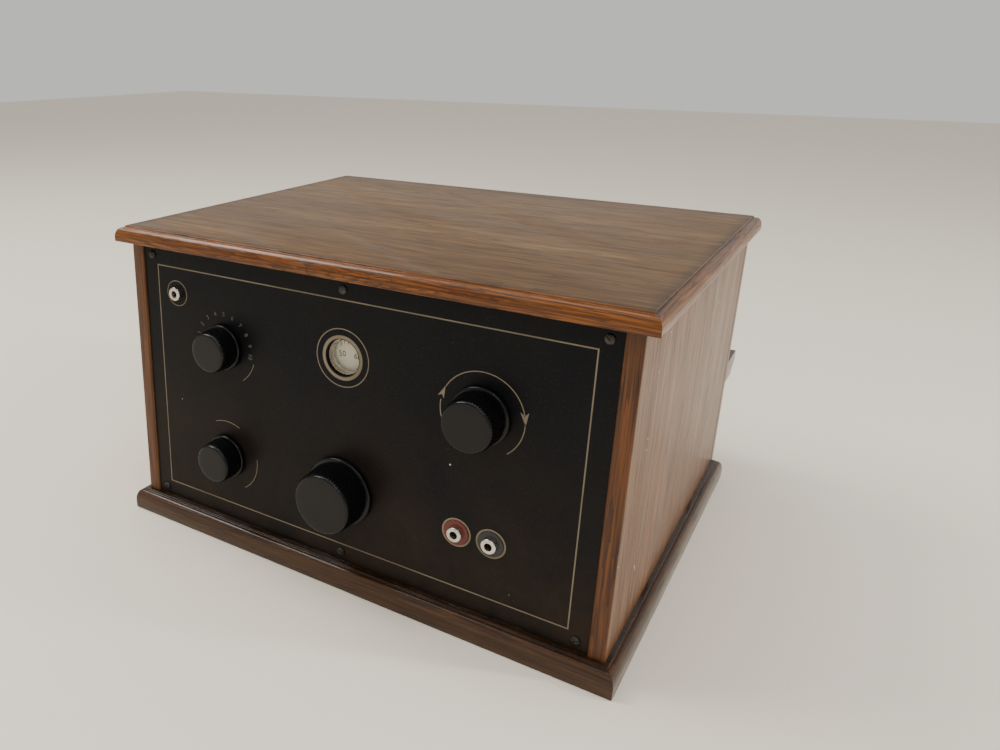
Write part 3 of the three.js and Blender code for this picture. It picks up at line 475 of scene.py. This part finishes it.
wood_lid = oak("lid_oak", "X", LID_TONES, 0.50, 1, dark_edge=near_rim(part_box("lid"), 0.011), figure=1.2)
wood_edge = oak("lid_edge_oak", "X", EDGE_TONES, 0.20, 2, figure=2.0)
wood_end = oak("lid_end_oak", "Y", EDGE_TONES, 0.30, 3, dark_edge=near_face("Z", LID_TOP, 0.004), figure=2.4)
wood_side = oak("side_oak", "Z", SIDE_TONES, 0.34, 4, pale=(0.36, 0.19, 0.09), figure=0.3)
wood_strip = oak("side_edge_oak", "Z", STRIP_TONES, 0.34, 5, figure=0.8)
wood_base = oak("base_oak", "X", BASE_TONES, 0.18, 6, dark_edge=near_face("Z", BASE_TOP, 0.003), figure=1.0)
wood_base_end = oak("base_end_oak", "Y", BASE_TONES, 0.20, 7, figure=1.0)
wood_pine = oak("pine", "X", PINE_TONES, 0.6, 8)

panel_black = plastic(
    "panel_ebonite", (0.0030, 0.0037, 0.0060), (0.0072, 0.0062, 0.0056), 0.30, speck=0.35, shine=0.11,
    patch=(PANEL_LOW.z, 0.115, (0.026, 0.015, 0.009)),
)
knob_black = plastic("knob_bakelite", (0.0022, 0.0024, 0.0032), (0.0042, 0.0042, 0.0048), 0.15, coat=0.12,
    relief=0.000006, shine=0.2)
ebonite = plastic("ebonite", (0.012, 0.012, 0.013), (0.022, 0.020, 0.019), 0.38)
red_ebonite = plastic("red_ebonite", (0.13, 0.012, 0.009), (0.07, 0.008, 0.006), 0.30)
celluloid = plastic("celluloid", (0.66, 0.62, 0.50), (0.58, 0.53, 0.40), 0.42)
ink_black = plastic("ink_black", (0.012, 0.011, 0.010), (0.022, 0.020, 0.018), 0.55)
line_tan = plastic("line_tan", (0.225, 0.175, 0.110), (0.105, 0.082, 0.052), 0.55)
number_grey = plastic("number_grey", (0.145, 0.130, 0.110), (0.07, 0.063, 0.055), 0.55)
nickel = metal("nickel_plate", (0.66, 0.63, 0.58), (0.48, 0.44, 0.38), 0.16)
brass = metal("brass_metal", (0.60, 0.43, 0.18), (0.40, 0.27, 0.11), 0.28)
aluminium = metal("aluminium_sheet", (0.62, 0.63, 0.64), (0.50, 0.50, 0.50), 0.32, (1, 0.08, 1))
dark_steel = metal("dark_steel", (0.075, 0.070, 0.064), (0.028, 0.024, 0.020), 0.34)
card = simple_fibre("varnished_card", (0.24, 0.13, 0.055), (0.34, 0.20, 0.09), 0.45, 500, (1, 1, 3))
green_silk = simple_fibre("green_silk", (0.045, 0.10, 0.035), (0.09, 0.17, 0.06), 0.75, 2600, (1, 1, 6))
paper = simple_fibre("insulating_paper", (0.48, 0.36, 0.18), (0.58, 0.46, 0.26), 0.7, 700)
glass = glass_material()


def repaint(node, material):
    """A CAD node keeps its shape and takes a material."""
    slots = frame["nodes"][node].material_slots
    if not slots:
        frame["nodes"][node].data.materials.append(material)
    for entry in slots:
        entry.material = material


# ---------------------------------------------------------------- moulded boards


def moulded_board(name, box, edge, wear, seed):
    """A board with a moulding mitred round it. edge is [inset, height] points up the outside."""
    (x0, y0, z0), (x1, y1, _) = box
    spacing = 4 * MM
    chance = random.Random(seed)
    along_x = max(2, round((x1 - x0) / spacing))
    along_y = max(2, round((y1 - y0) / spacing))
    phase = [chance.uniform(0, 6.28) for _ in range(8)]

    def nicks(distance, amount):
        slow = math.sin(distance * 90 + phase[0]) * math.sin(distance * 37 + phase[1])
        quick = math.sin(distance * 410 + phase[2]) * math.sin(distance * 171 + phase[3])
        return amount * max(0.0, 0.45 * slow + 0.6 * quick) ** 2

    rings = []
    for inset, height, worn in edge:
        ring = []
        corners = [(x0 + inset, y0 + inset), (x1 - inset, y0 + inset), (x1 - inset, y1 - inset),
            (x0 + inset, y1 - inset)]
        inward = [(0, 1), (-1, 0), (0, -1), (1, 0)]
        travelled = 0.0
        for side in range(4):
            start, end = Vector(corners[side]), Vector(corners[(side + 1) % 4])
            steps = along_x if side % 2 == 0 else along_y
            for step in range(steps):
                point = start.lerp(end, step / steps)
                depth = nicks(travelled + step * spacing, wear * worn) if step else wear * worn * 0.6
                point = point + Vector(inward[side]) * depth
                ring.append(Vector((point.x, point.y, z0 + height - depth * 0.5 * worn)))
            travelled += steps * spacing
        rings.append(ring)
    count = len(rings[0])
    vertices = [vertex for ring in rings for vertex in ring]
    faces = []
    for level in range(len(rings) - 1):
        for step in range(count):
            after = (step + 1) % count
            low, high = level * count, (level + 1) * count
            faces.append((low + step, low + after, high + after, high + step))
    faces.append(tuple(reversed(range(count))))
    faces.append(tuple(range((len(rings) - 1) * count, len(rings) * count)))
    return make_mesh(name, vertices, faces, 28)


def moulding(height, land):
    """[inset, height, wear] points: land, ovolo, quirk and the flat top."""
    ovolo, quirk_width, quirk_depth, arris = 3.6 * MM, 1.1 * MM, 1.2 * MM, 0.6 * MM
    rise = height - quirk_depth - land
    points = [(arris, 0, 0.0), (arris * 0.3, arris * 0.3, 0.4), (0, arris, 0.4)]
    for step in range(13):
        angle = math.pi / 2 * step / 12
        points.append((ovolo * (1 - math.cos(angle)), land + rise * math.sin(angle),
            0.3 if step < 11 else 0.8))
    flat = ovolo + quirk_width
    points += [(flat - 0.25 * MM, height - quirk_depth, 0.2), (flat, height - quirk_depth + 0.2 * MM, 0.2)]
    points += [(flat, height - 0.3 * MM, 1.0), (flat + 0.12 * MM, height - 0.1 * MM, 1.0),
        (flat + 0.4 * MM, height, 0.6)]
    return points


def three_woods(piece, top, front, end, rim):
    """Faces of a moulded board by where they lie: the field, the long edges and the ends."""
    for material in (top, front, end):
        piece.data.materials.append(material)
    x0, x1 = rim[0].x, rim[1].x
    border = 4.6 * MM
    for face in piece.data.polygons:
        on_field = abs(face.normal.z) > 0.9 and x0 + border < face.center.x < x1 - border
        sideways = abs(face.normal.x) > abs(face.normal.y) and not on_field
        near_end = min(face.center.x - x0, x1 - face.center.x) < 6 * MM and abs(face.normal.y) < 0.5
        broad = on_field and face.area > 1e-3
        at_end = sideways or (near_end and not on_field)
        face.material_index = 2 if at_end else 0 if broad else 1


def cut_away(piece, cutter):
    """Takes the cutter's solid out of a piece."""
    cut = piece.modifiers.new("cut", "BOOLEAN")
    cut.object = cutter
    cut.operation = "DIFFERENCE"
    cut.solver = "EXACT"
    with bpy.context.temp_override(object=piece, active_object=piece, selected_objects=[piece]):
        bpy.ops.object.modifier_apply(modifier=cut.name)
    bpy.data.objects.remove(cutter)


def cut_pockets(piece, nodes, spare=0.05 * MM):
    """Lets the hinge leaves into a board with the Boolean modifier, applied."""
    for node in nodes:
        low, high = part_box(node)
        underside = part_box("lid")[0].z
        reach, depth = 17.1 * MM, 1.25 * MM
        start = Vector((low.x - spare, low.y - spare, underside - MM))
        corner = Vector((high.x + spare, low.y + reach, underside + depth))
        cut_away(piece, gathered("cutter", [brick(start, corner)]))


lid_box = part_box("lid")
lid = moulded_board("lid_board", lid_box, moulding(lid_box[1].z - lid_box[0].z, 2.8 * MM), 0.35 * MM, 11)
three_woods(lid, wood_lid, wood_edge, wood_end, lid_box)
cut_pockets(lid, ["hinge_left_upper", "hinge_right_upper"])
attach(lid, "lid")
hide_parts("lid")

base_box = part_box("base_board")
base = moulded_board("base_moulded", base_box, moulding(base_box[1].z, 5.5 * MM), 0.4 * MM, 12)
three_woods(base, wood_base, wood_base, wood_base_end, base_box)
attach(base, "cabinet")
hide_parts("base_board")


# ---------------------------------------------------------------- side boards


def side_board(node, outer_material, edge_material):
    """A side with eased corners; its front and rear edges show another cut of the wood."""
    low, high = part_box(node)
    ease, steps = 1.2 * MM, 5
    outline = []
    centres = [(high.x - ease, high.y - ease, 0), (low.x + ease, high.y - ease, 90)]
    centres += [(low.x + ease, low.y + ease, 180), (high.x - ease, low.y + ease, 270)]
    for x, y, start in centres:
        outline += arc(ease, start, start + 90, (x, y), steps)
    levels = [low.z + (high.z - low.z) * step / 24 for step in range(25)]
    vertices = [Vector((x, y, z)) for z in levels for x, y in outline]
    count = len(outline)
    faces = []
    for level in range(len(levels) - 1):
        for step in range(count):
            after = (step + 1) % count
            first, second = level * count, (level + 1) * count
            faces.append((first + step, first + after, second + after, second + step))
    faces += [tuple(reversed(range(count))), tuple(range(count * (len(levels) - 1), count * len(levels)))]
    board = make_mesh(node + "_board", vertices, faces, 40)
    board.data.materials.append(outer_material)
    board.data.materials.append(edge_material)
    for face in board.data.polygons:
        face.material_index = 1 if abs(face.normal.y) > 0.6 or abs(face.normal.z) > 0.6 else 0
    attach(board, "cabinet")
    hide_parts(node)


for side in ("side_left", "side_right"):
    side_board(side, wood_side, wood_strip)

for node in ("rail_front_top", "rail_front_bottom", "rail_rear_top"):
    repaint(node, wood_pine)
repaint("back_board", wood_side)
repaint("rear_ledge", wood_base)
repaint("front_panel", panel_black)
repaint("terminal_strip", ebonite)

# ---------------------------------------------------------------- knobs


def knob(node, flutes, fine):
    """A bakelite knob: eased flange, groove, fluted grip and a flat face with a bright rim."""
    low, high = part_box(node)
    flange = (high.x - low.x) / 2
    height = high.y - low.y
    grip_top = height - 1.6 * MM
    face = flange * 0.84
    grip = face / 0.95 + 0.6 * MM
    flange_top = 3.2 * MM
    bore = 3.05 * MM
    profile = [(0, 11 * MM), (bore, 11 * MM), (bore, 0), (flange - 0.7 * MM, 0)]
    profile += arc(0.7 * MM, -60, 0, (flange - 0.7 * MM, 0.7 * MM), 4)
    profile += arc(1.0 * MM, 0, 80, (flange - 1.0 * MM, flange_top - 1.0 * MM), 6)
    profile += [(grip - 1.0 * MM, flange_top), (grip - 1.4 * MM, flange_top + 0.3 * MM),
        (grip - 1.4 * MM, flange_top + 1.1 * MM)]
    first = len(profile)
    for step in range(7):
        share = step / 6
        radius = grip + (grip * 0.95 - grip) * share
        profile.append((radius, flange_top + 1.3 * MM + (grip_top - flange_top - 1.3 * MM) * share))
    last = len(profile)
    rim = 1.3 * MM
    profile += arc(rim, 20, 88, (profile[-1][0] - 0.45 * MM - rim, height - rim), 7)
    profile += [(face * 0.6, height - 0.03 * MM), (0, height - 0.05 * MM)]
    place = Vector((middle(node).x, high.y, middle(node).z))

    def ripple(index, angle):
        if not first <= index < last:
            return 0
        return fine * (0.5 + 0.5 * math.cos(flutes * angle)) ** 1.5

    piece = lathe(node + "_turned", profile, place, FRONT, flutes * 6, ripple, 50)
    body = node.split("_")[0]
    fit_out(piece, knob_black, body, [node])


knob("tuning_knob", 64, 0.55 * MM)
knob("reaction_knob", 52, 0.5 * MM)
knob("selector_knob", 44, 0.3 * MM)
knob("wave_knob", 44, 0.3 * MM)

# ---------------------------------------------------------------- sockets, bushes, bezel, screws


def plug_socket(node, direction):
    """A nickel plug tube with a chamfered rim, a shoulder and a back nut."""
    low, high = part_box(node)
    length = high.y - low.y
    tube, bore, head = 3.0 * MM, 2.1 * MM, 4.4 * MM
    seat = length - 3.1 * MM
    rim = length
    profile = [(bore, 0), (tube, 0), (tube, seat), (head, seat), (head, rim - 1.0 * MM)]
    profile += arc(0.8 * MM, 0, 90, (head - 0.8 * MM, rim - 0.8 * MM), 5)
    profile += [(bore + 0.5 * MM, rim), (bore + 0.15 * MM, rim - 0.15 * MM), (bore, rim - 0.6 * MM),
        (bore, 0)]
    start = Vector((middle(node).x, high.y if direction == FRONT else low.y, middle(node).z))
    piece = lathe(node + "_tube", profile, start, direction, 48)
    nut_face = 7.5 * MM
    nut = lathe(node + "_nut", [(tube, nut_face), (4.8 * MM, nut_face), (4.8 * MM, nut_face + 2.45 * MM),
        (tube, nut_face + 2.45 * MM)], start, direction, 6, None, 20)
    fit_out(nut, nickel, "cabinet")
    fit_out(piece, nickel, "cabinet", [node])


for node in ("antenna_socket", "phone_socket_left", "phone_socket_right"):
    plug_socket(node, FRONT)
for index in range(1, 5):
    plug_socket(f"terminal_socket_{index}", REAR)


def bush(node, material):
    low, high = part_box(node)
    thickness = high.y - low.y
    outer = (high.x - low.x) / 2
    profile = [(3.1 * MM, 0), (outer, 0), (outer, thickness - 0.3 * MM)]
    profile += arc(0.3 * MM, 0, 90, (outer - 0.3 * MM, thickness - 0.3 * MM), 4) + [(3.1 * MM, thickness),
        (3.1 * MM, 0)]
    place = Vector((middle(node).x, high.y, middle(node).z))
    fit_out(lathe(node + "_washer", profile, place, FRONT, 64), material, "cabinet", [node])


bush("phone_bush_left", red_ebonite)
bush("phone_bush_right", ebonite)


def bezel():
    low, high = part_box("window_bezel")
    depth = high.y - low.y
    outer, inner, flange = 10.7 * MM, 9.2 * MM, (high.x - low.x) / 2
    profile = [(inner, 0), (flange, 0), (flange, 1.1 * MM), (outer, 1.1 * MM), (outer, depth - 0.3 * MM)]
    profile += arc(0.5 * MM, 0, 100, (outer - 0.5 * MM, depth - 0.5 * MM), 6)
    profile += [(inner + 0.6 * MM, depth - 1.4 * MM), (inner, depth - 2.4 * MM), (inner, 0)]
    place = Vector((WINDOW.x, high.y, WINDOW.z))
    fit_out(lathe("window_ring", profile, place, FRONT, 96), nickel, "cabinet", ["window_bezel"])


bezel()


def screw(node, turn):
    """A domed head with a slot, turned to its own angle."""
    low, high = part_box(node)
    radius, height = 2.7 * MM, 1.3 * MM
    head = [(0, 0), (radius, 0), (radius, 0.35 * MM)]
    head += [(radius * math.cos(a), 0.35 * MM + (height - 0.35 * MM) * math.sin(a)) for a in (0.3, 0.6, 0.9,
        1.2)]
    head.append((0, height))
    place = Vector((middle(node).x, low.y + height, middle(node).z))
    piece = lathe(node + "_head", head, place, FRONT, 40)
    matrix = facing(place, FRONT) @ Matrix.Rotation(math.radians(turn), 4, "Z")
    corners, faces = brick((-3 * MM, -0.35 * MM, 0.65 * MM), (3 * MM, 0.35 * MM, 3 * MM))
    cutter = gathered("slot_cutter", [([matrix @ corner for corner in corners], faces)])
    cut_away(piece, cutter)
    fit_out(piece, dark_steel, "cabinet", [node])


for index, turn in enumerate((20, 75, 130, 50, 160, 35)):
    screw(f"panel_screw_{index + 1}", turn)

# ---------------------------------------------------------------- engraving on the panel


def on_panel(x, z):
    return facing(Vector((x, PANEL_FRONT, z)), FRONT)


def ring(node_or_place, radius, width, start=0.0, end=360.0):
    x, z = node_or_place
    closed = end - start >= 360
    steps = max(8, round(abs(end - start) / 4))
    path = arc(radius, start, end, (0, 0), steps)
    return ribbon(path[:-1] if closed else path, width, on_panel(x, z), closed)


def spot(node):
    place = middle(node)
    return place.x, place.z


def engraving():
    inset_x, top_gap, bottom_gap = 11.3 * MM, 12.6 * MM, 11 * MM
    left, right = PANEL_LOW.x + inset_x, PANEL_HIGH.x - inset_x
    bottom, top = PANEL_LOW.z + bottom_gap, PANEL_HIGH.z - top_gap
    border = [(left, bottom), (right, bottom), (right, top), (left, top)]
    fine, medium, broad = 0.45 * MM, 0.6 * MM, 1.1 * MM
    shapes = [ribbon(border, 0.75 * MM, on_panel(0, 0), True)]
    selector, wave, reaction = (spot(node) for node in ("selector_knob", "wave_knob", "reaction_knob"))
    window = (WINDOW.x, WINDOW.z)
    shapes += [ring(spot("antenna_socket"), 8.0 * MM, medium)]
    shapes += [ring(spot(node), 8.0 * MM, broad) for node in ("phone_socket_left", "phone_socket_right")]
    shapes += [ring(window, 17 * MM, medium), ring(window, 12.2 * MM, 2.0 * MM)]
    shapes += [ring(selector, 24 * MM, fine, -54, -17), ring(wave, 23.4 * MM, fine, 65, 114)]
    shapes += [ring(wave, 23.4 * MM, fine, -56, 7)]
    shapes += [ring(reaction, 23.2 * MM, medium, 12, 152), ring(reaction, 23.2 * MM, medium, -50, 2)]
    shapes += [ring(reaction, 23.2 * MM, medium, 172, 228)]
    for angle, length, wide in ((8, 7.5 * MM, 4.6 * MM), (160, 7.5 * MM, 3.8 * MM)):
        turn = math.radians(angle)
        tip = Vector((23.2 * MM * math.cos(turn), 23.2 * MM * math.sin(turn)))
        away = Vector((-math.sin(turn), math.cos(turn)))
        out = Vector((math.cos(turn), math.sin(turn)))
        outline = [tip - away * length * 0.5, tip + away * length * 0.5 + out * wide / 2,
            tip + away * length * 0.25, tip + away * length * 0.5 - out * wide / 2]
        matrix = on_panel(*reaction)
        low = [matrix @ Vector((p.x, p.y, 0)) for p in outline]
        high = [matrix @ Vector((p.x, p.y, 0.05 * MM)) for p in outline]
        faces = [(3, 2, 1, 0), (4, 5, 6, 7)] + [(i, (i + 1) % 4, (i + 1) % 4 + 4, i + 4) for i in range(4)]
        shapes.append((low + high, faces))
    fit_out(gathered("panel_lines", shapes), line_tan, "cabinet")


engraving()


def selector_numbers():
    x, z = spot("selector_knob")
    first, last, count = 165.5, -7.5, 10
    shapes = []
    for index in range(count):
        angle = math.radians(first + (last - first) * index / (count - 1))
        orbit = 20.5 * MM
        turn = Matrix.Rotation(angle - math.pi / 2, 4, "Z")
        place = Matrix.Translation((orbit * math.cos(angle), orbit * math.sin(angle), 0))
        shapes.append(numeral(str(index + 1), 4.0 * MM, on_panel(x, z) @ place @ turn))
    fit_out(gathered("selector_numbers", shapes), number_grey, "cabinet")


selector_numbers()


def dial_numbers():
    """Numbers and ticks printed on the scale; the rest reading stands at the top."""
    low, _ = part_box("dial_scale")
    matrix = facing(Vector((DIAL_AXIS.x, low.y, DIAL_AXIS.z)), FRONT)
    rest, per_division = 55, 1.8
    shapes = []
    for reading in range(0, 101, 2):
        angle = math.radians(90 - (reading - rest) * per_division)
        turn = Matrix.Rotation(angle - math.pi / 2, 4, "Z")
        major = reading % 10 == 0
        inner, outer = (36.5 if major else 38) * MM, 40.5 * MM
        out = Vector((math.cos(angle), math.sin(angle)))
        shapes.append(ribbon([out * inner, out * outer], 0.3 * MM, matrix, height=0.02 * MM))
        if major:
            place = Matrix.Translation((32 * MM * math.cos(angle), 32 * MM * math.sin(angle), 0))
            shapes.append(numeral(str(reading), 4.8 * MM, matrix @ place @ turn, 0.02 * MM))
    fit_out(gathered("dial_numbers", shapes), ink_black, "dial")


dial_numbers()
repaint("dial_scale", celluloid)

# ---------------------------------------------------------------- the works inside

for node in ("dial_wheel", "tuning_shaft", "reaction_shaft", "selector_shaft", "wave_shaft",
    "condenser_frame"):
    repaint(node, brass)
for node in ("condenser_rotor", "condenser_stator"):
    repaint(node, aluminium)
for node in ("stator_insulator", "valve_holder_1", "valve_holder_2", "grid_condenser"):
    repaint(node, ebonite)
for node in ("valve_base_1", "valve_base_2"):
    repaint(node, knob_black)
for node in ("selector_plate", "wave_plate", "coil_former"):
    repaint(node, card)
for node in ("hinge_left_lower", "hinge_left_upper", "hinge_right_lower", "hinge_right_upper"):
    repaint(node, brass)
repaint("transformer_core", dark_steel)
repaint("transformer_winding", paper)
repaint("reaction_coil", green_silk)


def winding():
    """Two sections of close turns, with the turning coil's shaft passing between them."""
    low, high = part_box("coil_winding")
    outer = (high.x - low.x) / 2
    wire_width, clearance = 1.3 * MM, 5.5 * MM
    inner = outer - wire_width
    gap = JOINTS["reaction_turn"]["pos_m"][2]
    place = Vector((middle("coil_winding").x, middle("coil_winding").y, 0))
    shapes = []
    for start, end in ((low.z, gap - clearance), (gap + clearance, high.z)):
        turns = int((end - start) / wire_width)
        profile = [(inner, start)]
        for turn in range(turns):
            centre = (inner + wire_width / 2, start + (turn + 0.5) * wire_width)
            profile += arc(wire_width / 2, -80, 80, centre, 4)
        profile += [(inner, start + turns * wire_width), (inner, start)]
        shapes.append(turned(profile, place, UP, 72))
    fit_out(gathered("coil_turns", shapes, 60), green_silk, "cabinet", ["coil_winding"])


winding()


def valve(index):
    """A thin-walled bulb round a metal anode on two stays."""
    node = f"valve_bulb_{index}"
    low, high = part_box(node)
    radius, height, wall = (high.x - low.x) / 2, high.z - low.z, 0.7 * MM
    place = Vector((middle(node).x, middle(node).y, low.z))
    shoulder, neck = height - radius, radius * 0.72
    outside = [(neck, 0), (neck, height * 0.12)]
    outside += [(neck + (radius - neck) * math.sin(math.pi / 2 * step / 6),
        height * (0.12 + 0.05 * step)) for step in range(1, 7)]
    outside += arc(radius, 0, 80, (0, shoulder), 12)
    inside = [(max(r - wall, 0.4 * MM), z - (wall if z > shoulder else 0)) for r, z in outside]
    tip = [(0, height)]
    profile = outside + tip + [(0, height - wall)] + inside[::-1] + [(neck, 0)]
    fit_out(lathe(node + "_envelope", profile, place, UP, 56), glass, "cabinet", [node])
    anode, bottom, top = radius * 0.42, height * 0.22, height * 0.72
    tube = [(anode, bottom), (anode, top), (anode - 0.4 * MM, top), (anode - 0.4 * MM, bottom),
        (anode, bottom)]
    shapes = [turned(tube, place, UP, 28)]
    for across in (-1, 1):
        stay = place + Vector((across * (anode + 0.6 * MM), 0, 0))
        shapes.append(turned([(0, 0), (0.5 * MM, 0), (0.5 * MM, top), (0, top)], stay, UP, 10))
    fit_out(gathered(f"valve_anode_{index}", shapes), aluminium, "cabinet")


valve(1)
valve(2)

# ---------------------------------------------------------------- bus-bar wiring


def wiring():
    """Tinned square-bent wires from the sockets' tails, kept low and clear of what turns."""
    thick, low_run = 0.7 * MM, BASE_TOP + 5 * MM
    routes = []
    ends = {1: "valve_holder_1", 2: "valve_holder_2", 3: "valve_holder_2", 4: "transformer_winding"}
    for index, end in ends.items():
        socket_low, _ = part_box(f"terminal_socket_{index}")
        end_low, end_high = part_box(end)
        x, z = middle(f"terminal_socket_{index}").x, middle(f"terminal_socket_{index}").z
        tail = socket_low.y - thick
        target_x = min(max(x, end_low.x + 4 * MM), end_high.x - 4 * MM)
        target_z = max(low_run, end_low.z + 3 * MM)
        side_step = tail - (3 + 2 * index) * MM
        path = [(x, tail + 2 * thick, z), (x, side_step, z), (x, side_step, target_z)]
        path += [(target_x, side_step, target_z)] if abs(target_x - x) > 0.5 * MM else []
        routes.append(path + [(target_x, end_high.y, target_z)])
    antenna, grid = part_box("antenna_socket"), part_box("grid_condenser")
    x, z = middle("antenna_socket").x, middle("antenna_socket").z
    behind, target_z = antenna[1].y + 3 * MM, (grid[0].z + grid[1].z) / 2
    routes.append([(x, antenna[1].y, z), (x, behind, z), (x, behind, target_z), (x, grid[0].y, target_z)])
    for number, path in enumerate(routes, 1):
        wire(f"bus_wire_{number}", path, thick, nickel, "cabinet")


wiring()

# ---------------------------------------------------------------- floor, lights and camera


def plain(name, color, roughness):
    paint = Paint(name)
    paint.set(base_color=(*color, 1), roughness=roughness)
    return paint.material


def floor():
    half = 4.0
    corners = [Vector((-half, -half, 0)), Vector((half, -half, 0)), Vector((half, half, 0)),
        Vector((-half, half, 0))]
    piece = make_mesh("floor", corners, [(0, 1, 2, 3)])
    piece.data.materials.append(plain("floor_pale", (0.84, 0.76, 0.64), 0.6))
    piece.location.z = -0.05 * MM


def area_light(name, place, target, size, power, color=(1, 1, 1)):
    data = bpy.data.lights.new(name, "AREA")
    data.shape = "RECTANGLE"
    data.size, data.size_y = size
    data.energy = power
    data.color = color
    light = bpy.data.objects.new(name, data)
    light.location = place
    light.rotation_euler = (Vector(target) - Vector(place)).to_track_quat("-Z", "Y").to_euler()
    bpy.context.scene.collection.objects.link(light)


def lights():
    world = bpy.data.worlds.new("studio")
    world.use_nodes = True
    background = world.node_tree.nodes["Background"]
    background.inputs["Color"].default_value = (0.97, 0.97, 0.93, 1)
    background.inputs["Strength"].default_value = 0.68
    bpy.context.scene.world = world
    centre = (0, 0, 0.1)
    area_light("window_left", (-1.1, -0.35, 1.5), centre, (1.1, 0.8), 24, (1, 0.98, 0.93))
    area_light("ceiling", (0.0, -0.1, 1.8), centre, (1.2, 0.8), 9)
    area_light("strip_front", (0.75, -1.15, 1.25), centre, (1.1, 0.07), 5, (0.93, 0.96, 1))
    area_light("strip_right", (1.3, 0.35, 0.9), centre, (0.10, 0.9), 9)


def camera():
    """Stands where the set was seen from, front right and a little above."""
    data = bpy.data.cameras.new("camera")
    data.sensor_width = 36
    data.lens = 30.33
    data.shift_x = 0.175
    data.shift_y = -0.0437
    data.clip_start = 0.02
    eye = bpy.data.objects.new("camera", data)
    eye.location = (0.2378, -0.4994, 0.3089)
    yaw, pitch = 0.5971, -0.3285
    eye.rotation_euler = (math.pi / 2 + pitch, 0, yaw)
    bpy.context.scene.collection.objects.link(eye)
    bpy.context.scene.camera = eye


floor()
lights()
camera()

bpy.context.view_layer.update()
